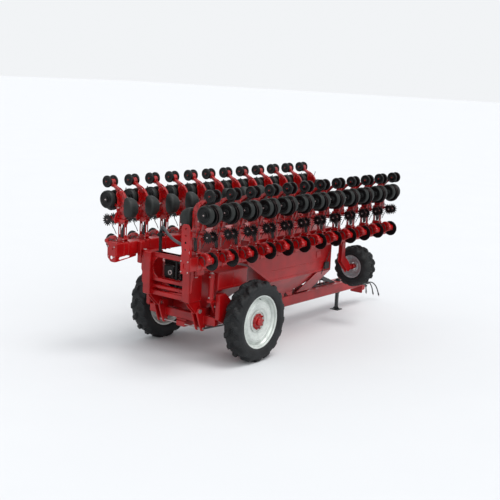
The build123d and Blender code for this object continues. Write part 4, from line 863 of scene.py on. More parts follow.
def make_unit_frames(sizes):
    """Row unit frames: ears, head, shank with its side cheeks, gauge wheel arms and row cleaner arm."""
    ear = plate([
        rounded([(0.986, 3.036), (1.214, 3.036), (1.214, 3.12), (0.986, 3.12)], 0.02),
        disc_outline((1.01, 3.06), 0.014, 12), disc_outline((1.19, 3.06), 0.014, 12),
    ], 0.047, 0.062, "xz", 0.003)
    pins = joined(*[drum(0.014, -0.07, 0.07, "y", (x, 0, 3.06), 0.003, 12) for x in (1.01, 1.19)])
    head = block((0.984, -0.064, 3.108), (1.216, 0.064, 3.15), 0.008)
    core = rounded([
        (1.0, 3.13), (1.214, 3.13), (1.3, 3.4), (1.47, 3.47), (1.49, 3.53), (1.47, 3.58), (1.3, 3.62),
        (1.19, 3.77),
        (1.11, 3.77), (1.0, 3.6),
    ], 0.03)
    web = plate([core], -0.012, 0.012, "xz", 0.003)
    cheek_edge = rounded([
        (1.0, 3.13), (1.214, 3.13), (1.29, 3.38), (1.29, 3.5), (1.23, 3.62), (1.19, 3.77), (1.11, 3.77),
        (1.0, 3.6),
    ], 0.03)
    window = rounded([(1.06, 3.24), (1.17, 3.24), (1.22, 3.4), (1.19, 3.52), (1.08, 3.54), (1.06, 3.46)],
        0.03)
    cheek = plate([cheek_edge, window], 0.014, 0.026, "xz", 0.003)
    rail = bar((1.008, 0, 3.16), (1.008, 0, 3.6), 0.055, 0.018, 0.003, (1, 0, 0))
    brow = bar((1.22, 0, 3.15), (1.3, 0, 3.4), 0.055, 0.018, 0.003, (1, 0, 0))
    nose = bar((1.3, 0, 3.62), (1.19, 0, 3.77), 0.055, 0.018, 0.003, (1, 0, 0))
    hump = plate([rounded([(1.0, 3.62), (1.04, 3.70), (1.12, 3.79), (1.18, 3.79), (1.25, 3.70),
        (1.2, 3.66), (1.08, 3.6)], 0.02)], -0.03, 0.03, "xz", 0.005)
    arm = plate([slot_outline((1.2, 3.4), (1.46, 3.57), 0.026), disc_outline((1.2, 3.4), 0.012, 12)],
        0.046, 0.064, "xz", 0.004)
    pivot = drum(0.021, -0.068, 0.068, "y", (1.2, 0, 3.4), 0.004, 16)
    axle = drum(0.017, -0.21, 0.21, "y", GAUGE, 0.003, 14)
    opener_axle = drum(0.017, -0.042, 0.042, "y", OPENER, 0.003, 14)
    rest = drum(0.02, -0.046, 0.046, "y", (CLOSER_PIVOT[0], 0, CLOSER_PIVOT[1]), 0.003, 16)
    sweep_arm = plate([slot_outline((1.17, 3.13), (1.5, 3.095), 0.02)], -0.02, 0.02, "xz", 0.004)
    sweep_axle = drum(0.017, -0.118, 0.118, "y", STAR, 0.003, 14)
    guard = plate([rounded([(1.3, 3.12), (1.42, 3.2), (1.56, 3.17), (1.6, 3.1), (1.54, 3.13),
        (1.44, 3.15), (1.32, 3.08)], 0.02)], -0.06, -0.05, "xz", 0.003)
    dial = ring_drum(0.035, 0.012, 0.028, 0.04, "y", (1.12, 0, 3.66), 0.003, 20)
    lever = bar((1.12, 0.034, 3.66), (1.06, 0.034, 3.86), 0.01, 0.012, 0.002, (0, 1, 0))
    grip = drum(0.013, -0.012, 0.012, "y", (1.06, 0.034, 3.86), 0.004, 10)
    apron = plate([rounded([(-0.13, 3.04), (0.13, 3.04), (0.15, 3.14), (0.1, 3.3), (-0.1, 3.3),
        (-0.15, 3.14)], 0.03), disc_outline((0.0, 3.2), 0.035, 16)], 1.215, 1.235, "yz", 0.004)
    shoulder = plate([rounded([(-0.055, 3.3), (0.055, 3.3), (0.06, 3.62), (0.1, 3.72), (0.05, 3.78),
        (-0.05, 3.78), (-0.1, 3.72), (-0.06, 3.62)], 0.03)], 1.225, 1.245, "yz", 0.004)
    cylinder = joined(tube([(1.11, 0.0, 2.74), (1.08, 0.0, 2.95)], 0.036, 14),
        tube([(1.085, 0.0, 2.92), (1.07, 0.0, 3.08)], 0.02, 10))
    red = joined(
        apron, shoulder, pair(ear), head, web, pair(cheek), rail, brow, nose, hump, pair(arm), sweep_arm,
            guard, dial, rest,
    )
    small_hose = tube(smooth_line([(1.2, 0.03, 3.2), (1.28, 0.09, 3.22), (1.3, 0.15, 3.12),
        (1.26, 0.17, 2.98), (1.22, 0.13, 2.9), (1.2, 0.1, 2.8)], 24), 0.009, 6)
    pale = joined(pins, pivot, axle, opener_axle, sweep_axle)
    both_wings(
        "unit_frame_dress", "rows",
        [(at_rows(red), "cast_enamel"), (at_rows(pale), "bright_zinc"),
        (at_rows(joined(lever, grip)), "moulded_nylon"), (at_rows(joined(pair(small_hose), cylinder)),
        "hose_rubber")],
        ["unit_frames"],
    )
    hood_rings = []
    for z, x0, x1, half in ((3.2, 0.84, 0.97, 0.06), (3.24, 0.76, 0.99, 0.11), (3.34, 0.71, 0.995, 0.14),
        (3.48, 0.71, 0.995, 0.145), (3.58, 0.76, 0.99, 0.135), (3.64, 0.85, 0.98, 0.1),
        (3.66, 0.9, 0.97, 0.06)):
        flat = rounded([(x1, -half), (x1, half), (x0, half), (x0, -half)], 0.09, 6)
        hood_rings.append(np.column_stack([flat, np.full(len(flat), z)]))
    hood = loft(hood_rings)
    drum_body = turned([
        (0.02, -0.06), (0.118, -0.06), (0.13, -0.048), (0.13, 0.04), (0.122, 0.052), (0.095, 0.056),
        (0.09, 0.048), (0.05, 0.05),
        (0.046, 0.082), (0.02, 0.085),
    ], "y", METER, 32)
    ribs = joined(*[
        bar((METER[0] + 0.055 * math.cos(a), -0.062, METER[2] + 0.055 * math.sin(a)),
            (METER[0] + 0.118 * math.cos(a), -0.062, METER[2] + 0.118 * math.sin(a)), 0.008, 0.012, 0.002,
            (0, 1, 0))
        for a in np.linspace(0, 2 * math.pi, 8, endpoint=False)
    ])
    neck = block((0.86, -0.055, 3.345), (0.998, 0.055, 3.455), 0.012)
    intake = tube(smooth_line([(0.86, 0, 3.52), (0.86, 0, 3.58), (0.87, 0.02, 3.64), (0.93, 0.03, 3.64),
        (0.99, 0.03, 3.56)], 16), 0.022, 10)
    both_wings("seed_meter_dress", "rows", [(at_rows(joined(drum_body, ribs, neck)),
        "moulded_nylon"), (at_rows(hood), "gauge_rubber"), (at_rows(intake), "air_hose")],
            ["seed_meters"])


def make_toolbars(sizes):
    """Box toolbars with end plate, clamp plates, straps and the ears of every row."""
    rear, front = -2.12, 6.25
    x0, x1, z0, z1 = 0.96, 1.24, 2.33, 2.63
    beam = block((x0, rear, z0), (x1, front, z1), 0.018)
    cap = block((x0 + 0.02, front, z0 + 0.02), (x1 - 0.02, front + 0.008, z1 - 0.02), 0.003)
    edge = rounded([
        (0.98, 2.27), (1.22, 2.27), (1.22, 2.6), (1.2, 2.75), (1.22, 2.9), (1.22, 3.28), (1.17, 3.35),
        (1.03, 3.35), (0.98, 3.28), (0.98, 2.9), (1.0, 2.75), (0.98, 2.6),
    ], 0.03)
    holes = [disc_outline((1.1, z), r, 16) for z, r in ((3.25, 0.028), (3.1, 0.02), (2.95, 0.028),
        (2.8, 0.02))]
    end = plate([edge, rounded([(1.05, 2.38), (1.15, 2.38), (1.15, 2.5), (1.05, 2.5)], 0.02)] + holes,
        -2.14, -2.12, "xz", 0.004)
    ribs = joined(*[block((x, -2.118, 2.64), (x + 0.014, -2.05, 3.2), 0.003) for x in (0.985, 1.2)])
    bolts = joined(*[drum(0.018, -2.158, -2.14, "y", (x, 0, z), 0.004, 6) for x in (1.005,
        1.195) for z in (2.32, 2.55)])
    seat = block((0.97, -0.092, 2.63), (1.23, 0.092, 2.645), 0.004)
    strap = joined(*[
        plate([
            [(0.948, 2.318), (1.252, 2.318), (1.252, 2.642), (0.948, 2.642)],
            [(0.96, 2.33), (1.24, 2.33), (1.24, 2.63), (0.96, 2.63)],
        ], y - 0.012, y + 0.012, "xz", 0.003) for y in (-0.075, 0.075)
    ])
    ear = plate([
        rounded([(0.986, 2.64), (1.214, 2.64), (1.214, 2.724), (0.986, 2.724)], 0.02),
        disc_outline((1.01, 2.7), 0.014, 12), disc_outline((1.19, 2.7), 0.014, 12),
    ], 0.047, 0.062, "xz", 0.003)
    stay = joined(*[block((x, -0.047, 2.645), (x + 0.012, 0.047, 2.685), 0.002) for x in (1.09,)])
    pins = joined(*[drum(0.014, -0.072, 0.072, "y", (x, 0, 2.7), 0.003, 12) for x in (1.01, 1.19)])
    nuts = joined(*[drum(0.013, 2.64, 2.662, "z", (x, y, 0), 0.003, 6) for x in (0.99,
        1.21) for y in (-0.075, 0.075)])
    low_edge = rounded([(0.97, 2.2), (1.12, 2.2), (1.23, 2.3), (1.23, 2.66), (0.97, 2.66)], 0.03)
    low_end = plate([low_edge, disc_outline((1.1, 2.3), 0.04, 20), disc_outline((1.06, 2.5), 0.02, 12)],
        -2.14, -2.12, "xz", 0.004)
    arm_edge = rounded([(-2.12, 2.2), (-1.46, 2.28), (-1.46, 2.34), (-2.12, 2.34)], 0.02)
    slot_arm = plate([arm_edge, slot_outline((-1.98, 2.275), (-1.7, 2.3), 0.03)], 0.975, 0.995, "yz",
        0.004)
    details = [
        (at_rows(joined(seat, strap, pair(ear), stay)), "cast_enamel"),
        (joined(at_rows(joined(pins, nuts)), bolts), "bright_zinc"),
    ]
    right = [(joined(beam, cap, end, ribs), "gloss_enamel")] + details
    left = [(joined(beam, cap, low_end, slot_arm), "gloss_enamel")] + details
    make_piece("toolbar_dress_right", "wing_right", right, ["toolbar_right"])
    make_piece("toolbar_dress_left", "wing_left", [(mirrored(p), f) for p, f in left],
        ["toolbar_left"])


def make_coulter_arms(sizes):
    """Coulter arms: a flanged root, a hooded wedge over the disc, its rounded nub and a short hose."""
    flange = block((1.241, -0.035, 2.48), (1.258, 0.115, 2.625), 0.004)
    wedge = plate([rounded([
        (1.255, 2.46), (1.255, 2.66), (1.34, 2.74), (1.47, 2.72), (1.6, 2.6), (1.6, 2.53), (1.5, 2.5),
        (1.38, 2.42),
    ], 0.04)], -0.05, 0.046, "xz", 0.014)
    rib = plate([rounded([(1.255, 2.42), (1.255, 2.5), (1.4, 2.53), (1.36, 2.47)], 0.02)], 0.004, 0.03,
        "xz", 0.004)
    nub = turned([(0.02, -0.11), (0.045, -0.1), (0.058, -0.08), (0.062, -0.05), (0.062, 0.05)], "y",
        (1.53, 0, 2.6), 20)
    wing_plate = plate([rounded([(1.26, 2.62), (1.3, 2.72), (1.4, 2.74), (1.47, 2.68), (1.4, 2.645)],
        0.03)], -0.02, 0.03, "xz", 0.005)
    axle = drum(0.017, 0.02, 0.078, "y", COULTER, 0.003, 14)
    bolt = drum(0.022, 0.07, 0.082, "y", COULTER, 0.004, 6)
    line = smooth_line([(1.25, -0.06, 2.6), (1.31, -0.09, 2.66), (1.4, -0.1, 2.66), (1.45, -0.08, 2.56),
        (1.4, -0.03, 2.46), (1.34, 0.0, 2.44), (1.27, 0.01, 2.46)], 26)
    both_wings(
        "coulter_arm_dress", "wing",
        [(at_rows(joined(flange, wedge, rib, nub, wing_plate)), "cast_enamel"),
        (at_rows(joined(axle, bolt)), "bright_zinc"), (at_rows(tube(line, 0.011, 8)), "hose_rubber")],
        ["coulter_arms"],
    )


# ---- lift frame -----------------------------------------------------------------------------------
def make_lift_frame(sizes):
    """Lift frame: two box posts with hooked feet, gussets and hinge lugs, and the members between them."""
    c = sizes.plate_chamfer
    post = block((0.5, -1.5, 1.45), (0.7, -1.05, 2.45), 0.02)
    face = plate([rounded([(0.505, 1.47), (0.695, 1.47), (0.695, 2.43), (0.505, 2.43)], 0.03)], -1.507,
        -1.498, "xz", 0.004)
    wrap = plate([rounded([(0.70, 2.28), (0.79, 2.28), (0.79, 2.0), (0.76, 1.96), (0.76, 1.72),
        (0.7, 1.66)], 0.03)], -1.48, -1.45, "xz", c)
    foot_edge = rounded([
        (-1.46, 1.47), (-1.05, 1.47), (-1.0, 1.36), (-0.978, 1.2), (-1.0, 1.13), (-1.06, 1.118),
        (-1.14, 1.16), (-1.3, 1.3),
    ], 0.05)
    foot = [plate([foot_edge, disc_outline((-1.06, 1.2), 0.047, 24)], x, x + 0.022, "yz",
        c) for x in (0.53, 0.608)]
    foot_web = bar((0.58, -1.4, 1.4), (0.58, -1.15, 1.17), 0.06, 0.02, 0.003, (1, 0, 0))
    barrel = ring_drum(0.078, 0.0455, 0.53, 0.63, "x", (0, -1.06, 1.2), 0.004, 36)
    lugs, pins = [], []
    for z in (2.06, 2.395):
        edge = np.vstack([[(0.7, -1.432), (0.78, -1.432)], disc_outline((0.78, -1.37), 0.0618, 24)[18:],
            disc_outline((0.78, -1.37), 0.0618, 24)[:7], [(0.78, -1.308), (0.7, -1.308)]])
        lugs.append(plate([edge], z, z + 0.055, "xy", 0.005))
    pins.append(drum(0.035, 2.115, 2.395, "z", (0.78, -1.37, 0), 0.002, 24))
    pins.append(drum(0.045, 2.45, 2.465, "z", (0.78, -1.37, 0), 0.004, 24))
    pins.append(drum(0.045, 2.045, 2.06, "z", (0.78, -1.37, 0), 0.004, 24))
    corner = plate([rounded([(0.5, 2.33), (0.34, 2.33), (0.46, 2.24), (0.5, 2.12)], 0.01)], -1.4, -1.37,
        "xz", 0.004)
    low_corner = plate([rounded([(0.5, 1.86), (0.34, 1.86), (0.46, 1.95), (0.5, 2.08)], 0.01)], -1.4,
        -1.37, "xz", 0.004)
    right = joined(post, face, wrap, *foot, foot_web, barrel, *lugs, corner, low_corner)
    members = [
        block((-0.5, -1.4, 1.45), (0.5, -1.24, 1.56), 0.012),
        plate([rounded([(-0.5, 1.78), (0.5, 1.78), (0.5, 1.86), (-0.5, 1.86)], 0.004)], -1.405, -1.24,
            "xz", 0.008),
        block((-0.5, -1.4, 2.33), (0.5, -1.24, 2.45), 0.012),
        block((-0.5, -1.43, 2.438), (0.5, -1.22, 2.45), 0.003),
    ]
    round_member = drum(0.05, -0.5, 0.5, "x", (0, -1.33, 1.65), 0.004, 28)
    collars = joined(*[ring_drum(0.062, 0.049, x - 0.02, x + 0.02, "x", (0, -1.33, 1.65), 0.004,
        28) for x in (-0.3, 0.3)])
    slant = bar((-0.49, -1.36, 1.5), (0.49, -1.36, 1.59), 0.05, 0.03, 0.004, (0, 1, 0))
    black_box = block((-0.3, -1.24, 1.88), (-0.02, -1.16, 2.16), 0.02)
    riser = tube([(0.12, -1.27, 1.56), (0.12, -1.27, 2.45)], 0.035, 14)
    ring = ring_drum(0.055, 0.035, -1.262, -1.238, "y", (-0.1, 0, 2.0), 0.004, 24)
    make_piece(
        "lift_frame_dress", "lift",
        [
            (joined(right, mirrored(right), *members, round_member, collars, slant), "gloss_enamel"),
            (joined(*pins, *[mirrored(p) for p in pins]), "bright_zinc"),
            (joined(black_box, riser), "moulded_nylon"),
            (ring, "bright_zinc"),
        ],
        ["lift_frame"],
    )
    arm = joined(
        block((0.842, -1.445, 2.12), (0.96, -1.295, 2.39), 0.014),
        block((0.852, -1.445, 2.38), (0.96, -1.295, 2.628), 0.014),
        ring_drum(0.068, 0.0355, 2.12, 2.39, "z", (0.78, -1.37, 0), 0.004, 36),
        plate([rounded([(-1.445, 2.39), (-1.295, 2.39), (-1.295, 2.62), (-1.445, 2.62)], 0.03)], 0.842,
            0.856, "yz", 0.003),
    )
    both_wings("hinge_arm_dress", "wing", [(arm, "gloss_enamel")], ["hinge_arm"])


def make_air_lines(sizes):
    """Distributor heads, the thick air hose between the posts and the thin lines beside it."""
    heads = []
    for x in (-0.36, 0.36):
        c = (x, -1.32, 0)
        heads.append(drum(0.05, 2.45, 2.47, "z", c, 0.004, 24))
        heads.append(ring_drum(0.036, 0.001, 2.47, 2.82, "z", c, 0.002, 20))
        heads += [ring_drum(0.04, 0.03, z, z + 0.012, "z", c, 0.002, 20) for z in np.arange(2.5, 2.8,
            0.03)]
        heads.append(turned([(0.03, 2.81), (0.074, 2.815), (0.075, 2.86), (0.068, 2.885), (0.03, 2.9)],
            "z", c, 32))
        for k in range(8):
            a = 2 * math.pi * k / 8 + 0.2
            spout = [(x + r * math.cos(a), -1.32 + r * math.sin(a), 2.84) for r in (0.05, 0.095)]
            heads.append(tube(spout, 0.012, 8))
    make_piece("distributor_dress", "lift", [(joined(*heads), "moulded_nylon")],
        ["seed_manifold"])
    route = [
        (-0.36, -1.32, 2.9), (-0.36, -1.32, 3.01), (-0.23, -1.375, 3.05), (-0.06, -1.405, 2.9),
        (0.15, -1.415, 2.79),
        (0.38, -1.42, 2.73), (0.545, -1.375, 2.69), (0.575, -1.32, 2.59), (0.575, -1.32, 2.45),
    ]
    line = smooth_line(route, 90)
    wires = 0.0345 + 0.0012 * np.cos(np.arange(len(line)) * math.pi)
    cuffs = joined(tube(line[:4], 0.037, 16), tube(line[-5:], 0.037, 16))
    make_piece("air_hose_dress", "lift", [(tube(line, wires, 18), "air_hose"),
        (cuffs, "moulded_nylon")], ["air_hose"])


# ---- chassis --------------------------------------------------------------------------------------
def make_chassis(sizes):
    """Drawbar, cross beams, side brackets, tilt ears and the rods between them."""
    c = sizes.plate_chamfer
    beam = joined(block((-0.2, -0.14, 0.56), (0.2, 6.9, 0.84), 0.022),
        block((-0.13, -0.95, 0.7), (0.13, -0.12, 0.842), 0.02))
    strips = [block((-0.208, 0.2, 0.82), (0.208, 6.6, 0.842), 0.004)]
    plates = [block((-0.15, -0.92, 0.84), (0.15, -0.78, 0.88), 0.003),
        block((-1.0, -0.92, 0.88), (1.0, -0.78, 1.08), 0.014)]
    axle = [block((-1.0, -0.11, 0.84), (1.0, 0.11, 1.06), 0.014)]
    bracket = rounded([(-0.92, 1.64), (-0.7, 1.64), (-0.48, 1.44), (0.16, 1.06), (0.16, 0.84),
        (-0.5, 0.84), (-0.92, 1.04)], 0.04)
    window = rounded([(-0.78, 1.5), (-0.7, 1.5), (-0.5, 1.3), (-0.5, 1.1), (-0.78, 1.12)], 0.04)
    right = [plate([bracket, window], 1.0, 1.016, "yz", c), plate([bracket], 1.104, 1.12, "yz", c)]
    ribs = [((-0.92, 1.05), (-0.92, 1.63)), ((-0.92, 1.632), (-0.7, 1.632)),
        ((-0.7, 1.635), (-0.48, 1.435)), ((-0.48, 1.435), (0.16, 1.055)), ((0.155, 1.06), (0.155, 0.85)),
        ((0.15, 0.848), (-0.5, 0.848)), ((-0.5, 0.848), (-0.91, 1.04))]
    for (y0, z0), (y1, z1) in ribs:
        right.append(bar((1.06, y0, z0), (1.06, y1, z1), 0.09, 0.014, 0.003, (0, -(z1 - z0), y1 - y0)))
    right.append(block((0.86, -1.07, 1.44), (1.0, -0.9, 1.5), 0.008))
    right.append(plate([rounded([(-1.05, 1.44), (-0.92, 1.44), (-0.92, 1.2)], 0.01)], 0.95, 0.97, "yz",
        0.004))
    ear = rounded([(-1.155, 1.16), (-1.12, 1.275), (-1.0, 1.275), (-0.84, 1.24), (-0.8, 0.9),
        (-0.88, 0.72), (-0.98, 0.72), (-1.06, 0.9)], 0.03)
    right += [plate([ear, disc_outline((-1.06, 1.2), 0.044, 24), disc_outline((-0.93, 0.77), 0.027, 16)],
        x, x + 0.04, "yz", c) for x in (0.485, 0.635)]
    stub = turned([(0.05, 1.12), (0.11, 1.121), (0.11, 1.15), (0.06, 1.155), (0.055, 1.2), (0.055, 1.575),
        (0.03, 1.575)], "x", (0, 0, AXLE_Z), 32)
    pins = [drum(0.045, 0.526, 0.634, "x", (0, -1.06, 1.2), 0.003, 24),
        drum(0.052, 0.676, 0.69, "x", (0, -1.06, 1.2), 0.004, 24)]
    pins += [drum(0.028, 0.47, 0.69, "x", (0, -0.93, 0.77), 0.004, 20)]
    rods = [tube([(0.58, -0.93, 0.77), (-0.58, -0.93, 0.77)], 0.014, 10)]
    black = [tube([(0.66, -0.93, 0.78), (1.0, -0.5, 0.86)], 0.016, 8),
        tube([(0.64, -0.93, 0.75), (1.06, -0.14, 0.86)], 0.012, 8)]
    everything = joined(beam, *strips, *plates, *axle, *right, *[mirrored(p) for p in right])
    make_piece(
        "chassis_dress", "chassis",
        [
            (everything, "gloss_enamel"),
            (joined(*pins, *[mirrored(p) for p in pins], *rods), "bright_zinc"),
            (joined(*black, *[mirrored(p) for p in black]), "chassis_black"),
        ],
        ["chassis_frame"],
    )
    make_piece("axle_stub_dress", "chassis", [(joined(stub, mirrored(stub)),
        "chassis_black")], ["axle_beam"])
    barrel = turned([(0.03, 1.5), (0.06, 1.5), (0.062, 1.506), (0.062, 2.07), (0.07, 2.08), (0.07, 2.105),
        (0.062, 2.11), (0.03, 2.11)], "z", (0.93, -1.0, 0), 32)
    collar = joined(*[ring_drum(0.068, 0.06, z, z + 0.03, "z", (0.93, -1.0, 0), 0.004, 32) for z in (1.53,
        1.98)])
    cap = turned([(0.02, 2.108), (0.044, 2.109), (0.045, 2.12), (0.038, 2.133), (0.01, 2.135)], "z",
        (0.93, -1.0, 0), 24)
    port = joined(drum(0.02, -1.085, -1.06, "y", (0.93, 0, 1.56)),
        drum(0.02, -1.085, -1.06, "y", (0.93, 0, 2.04)))
    cylinder = [(joined(barrel, collar), "gloss_enamel"), (joined(cap, port), "bright_zinc")]
    doubled = [(joined(p, mirrored(p)), f) for p, f in cylinder]
    make_piece("lift_cylinder_dress", "chassis", doubled, ["lift_cylinders"])


def make_hitch(sizes):
    """Hitch head, tow eye, stand with its sleeve, steps, hose rack and glands."""
    flange = plate([rounded([(-0.2, 0.35), (0.2, 0.35), (0.2, 0.84), (-0.2, 0.84)], 0.03)], 6.9, 6.93,
        "xz", 0.005)
    nose = []
    for x in (-0.095, 0.07):
        edge = rounded([(6.93, 0.38), (7.24, 0.4), (7.24, 0.54), (7.1, 0.6), (6.93, 0.78)], 0.03)
        nose.append(plate([edge], x, x + 0.025, "yz", 0.005))
    nose.append(ring_drum(0.088, 0.0382, 7.02, 7.24, "y", (0, 0, 0.47), 0.005, 32))
    nose.append(bar((0, 6.93, 0.765), (0, 7.12, 0.585), 0.16, 0.02, 0.004, (0, 0, 1)))
    bolts = joined(*[drum(0.018, 6.93, 6.952, "y", (x, 0, z), 0.004, 6) for x in (-0.16,
        0.16) for z in (0.4, 0.55, 0.7, 0.8)])
    make_piece("hitch_head_dress", "chassis", [(joined(flange, *nose), "gloss_enamel"),
        (bolts, "bright_zinc")], ["hitch_head"])
    eye = turned([(0.026, 0.446), (0.034, 0.445), (0.056, 0.45), (0.062, 0.46), (0.062, 0.48),
        (0.056, 0.49), (0.034, 0.495), (0.026, 0.494)], "z", (0, 7.42, 0), 40, ring=True)
    shank = drum(0.038, 7.03, 7.372, "y", (0, 0, 0.47), 0.004, 28)
    collar = drum(0.06, 7.2403, 7.27, "y", (0, 0, 0.47), 0.006, 28)
    make_piece("tow_eye_dress", "tow_eye", [(joined(eye, shank, collar), "chassis_black")],
        ["tow_eye"])
    sleeve = [
        plate([[(-0.0503, 5.7997), (0.0503, 5.7997), (0.0503, 5.9003), (-0.0503, 5.9003)],
            [(-0.0403, 5.8097), (0.0403, 5.8097), (0.0403, 5.8903), (-0.0403, 5.8903)]], 0.47, 0.9, "xy",
            0.002),
        plate([rounded([(-0.09, 5.76), (0.09, 5.76), (0.09, 5.94), (-0.09, 5.94)], 0.015),
            [(-0.05, 5.80), (0.05, 5.80), (0.05, 5.90), (-0.05, 5.90)]], 0.84, 0.855, "xy", 0.003),
        plate([rounded([(-0.08, 5.77), (0.08, 5.77), (0.08, 5.93), (-0.08, 5.93)], 0.015),
            [(-0.05, 5.80), (0.05, 5.80), (0.05, 5.90), (-0.05, 5.90)]], 0.53, 0.556, "xy", 0.003),
    ]
    pin = drum(0.011, -0.085, 0.085, "x", (0, 5.85, 0.5), 0.002, 12)
    make_piece("stand_sleeve_dress", "chassis",
        [(joined(*sleeve), "chassis_black"), (pin, "bright_zinc")], ["stand_sleeve"])
    leg = [
        block((-0.04, 5.81, 0.02), (0.04, 5.89, 0.82), 0.006),
        block((-0.13, 5.72, 0.0), (0.13, 5.98, 0.016), 0.005),
        block((-0.12, 5.73, 0.012), (0.12, 5.97, 0.025), 0.005),
    ]
    leg += [plate([[(0.04, 0.024), (0.11, 0.024), (0.04, 0.11)]], 5.844, 5.856, "xz", 0.002),
        plate([[(-0.04, 0.024), (-0.04, 0.11), (-0.11, 0.024)]], 5.844, 5.856, "xz", 0.002)]
    make_piece("stand_leg_dress", "stand", [(joined(*leg), "chassis_black")], ["stand_leg"])
    outer = rounded([(4.4, 0.842), (5.6, 0.842), (5.48, 0.9), (4.86, 1.14), (4.76, 1.14)], 0.02)
    holes = [rounded([(4.58, 0.87), (4.98, 0.87), (4.98, 0.98), (4.84, 1.06), (4.79, 1.06)], 0.02),
        rounded([(5.03, 0.87), (5.32, 0.87), (5.03, 0.96)], 0.02)]
    step = plate([outer] + holes, 0.06, 0.075, "yz", 0.003)
    treads = [block((-0.06, y, z), (0.06, y + 0.12, z + 0.012), 0.003) for y,
        z in ((4.75, 1.12), (4.95, 1.05), (5.15, 0.98))]
    rack = [block((0.16, 6.93, 0.575), (0.19, 7.25, 0.625), 0.004),
        mirrored(block((0.16, 6.93, 0.575), (0.19, 7.25, 0.625), 0.004))]
    rack.append(block((-0.19, 7.25, 0.565), (0.19, 7.31, 0.635), 0.008))
    rack += [plate([rounded([(x - 0.03, 0.6), (x + 0.03, 0.6), (x + 0.025, 0.68), (x - 0.025, 0.68)],
        0.01), disc_outline((x, 0.655), 0.012, 10)], 7.27, 7.28, "xz", 0.002) for x in (-0.13, 0.0, 0.13)]
    glands = []
    for x in (-0.13, 0.0, 0.13):
        glands.append(drum(0.028, 7.31, 7.325, "y", (x, 0, 0.6), 0.003, 6))
        glands.append(turned([(0.0175, 7.32), (0.026, 7.32), (0.026, 7.33), (0.021, 7.34),
            (0.0175, 7.34)], "y", (x, 0, 0.6), 20, ring=True))
    make_piece(
        "drawbar_bracket_dress", "chassis",
        [(joined(step, mirrored(step), *treads, *rack), "chassis_black"),
        (joined(*glands), "moulded_nylon")], ["drawbar_brackets"],
    )


HOSE_EXITS = (-0.13, 0.0, 0.13)
HOSE_DRIFTS = (-0.07, 0.035, 0.095)


def make_drawbar_hoses(sizes):
    """The three hydraulic hoses at the hitch: out of the rack, over and down to their couplers."""
    for number, (x, drift) in enumerate(zip(HOSE_EXITS, HOSE_DRIFTS), start=1):
        y, z = 7.34 + AXLE_Y, 0.6
        route = [
            (x, y, z),
            (x, y + 0.11, z),
            (x + 0.2 * drift, y + 0.24, z - 0.03),
            (x + 0.5 * drift, y + 0.36, z - 0.115),
            (x + 0.8 * drift, y + 0.45, z - 0.24),
            (x + drift, y + 0.5, z - 0.38),
        ]
        curve = bpy.data.curves.new(f"drawbar_hose_line_{number}", "CURVE")
        curve.dimensions = "3D"
        spline = curve.splines.new("NURBS")
        spline.points.add(len(route) - 1)
        spline.points.foreach_set("co", np.column_stack([route,
            np.ones(len(route))]).ravel().astype(np.float32))
        spline.order_u = 3
        spline.use_endpoint_u = True
        spline.resolution_u = 12
        curve.bevel_depth, curve.bevel_resolution = sizes.hose_radius, 4
        curve.use_fill_caps = True
        curve.materials.append(FINISHES["hose_rubber"])
        hose = bpy.data.objects.new(f"drawbar_hose_dress_{number}", curve)
        bpy.context.scene.collection.objects.link(hose)
        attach(hose, "chassis")
        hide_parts(f"drawbar_hose_{number}")
        end, before = np.array(route[-1]) - [0, AXLE_Y, 0], np.array(route[-2]) - [0, AXLE_Y, 0]
        way = (end - before) / np.linalg.norm(end - before)
        stops = [0.0, 0.004, 0.02, 0.022, 0.05, 0.052, 0.066, 0.07, 0.072, 0.108, 0.11]
        widths = [0.018, 0.0235, 0.024, 0.02, 0.02, 0.024, 0.024, 0.018, 0.014, 0.014, 0.01]
        body = tube([end + way * s for s in stops[:8]], widths[:8], 20)
        nose = tube([end + way * s for s in stops[7:]], widths[7:], 16)
        coupler = make_piece(
            f"hose_coupler_dress_{number}", "chassis",
                [(body, "chassis_black"), (nose, "bright_zinc")],
            ["hose_couplers"] if number == 1 else [],
        )


# ---- tanks ----------------------------------------------------------------------------------------
def level_ring(half, rear, front, z, radius=0.03, count=5):
    """A level outline with rounded corners, as points."""
    flat = rounded([(half, rear), (half, front), (-half, front), (-half, rear)], radius, count)
    return np.column_stack([flat, np.full(len(flat), z)])


def hopper_skin(levels, hatch, wall, neck):
    """A sheet hopper as one closed skin: up the outside, over the roof to the hatch neck, and back down
    the inside. Every ring of the loft is a level rounded rectangle."""
    half, rear, front = hatch
    top = levels[-1][3]
    rings = [level_ring(w, a, b, z) for w, a, b, z in levels]
    rings.append(level_ring(half + 0.006, rear - 0.006, front + 0.006, top, 0.02))
    rings.append(level_ring(half + 0.006, rear - 0.006, front + 0.006, top + neck, 0.02))
    rings.append(level_ring(half, rear, front, top + neck, 0.02))
    rings.append(level_ring(half, rear, front, top - wall, 0.02))
    inner = [level_ring(w - wall, a + wall, b - wall, z - wall * (z == top)) for w, a, b,
        z in reversed(levels[1:])]
    w, a, b, z = levels[0]
    return loft(rings + inner + [level_ring(w - wall, a + wall, b - wall, z + wall)])


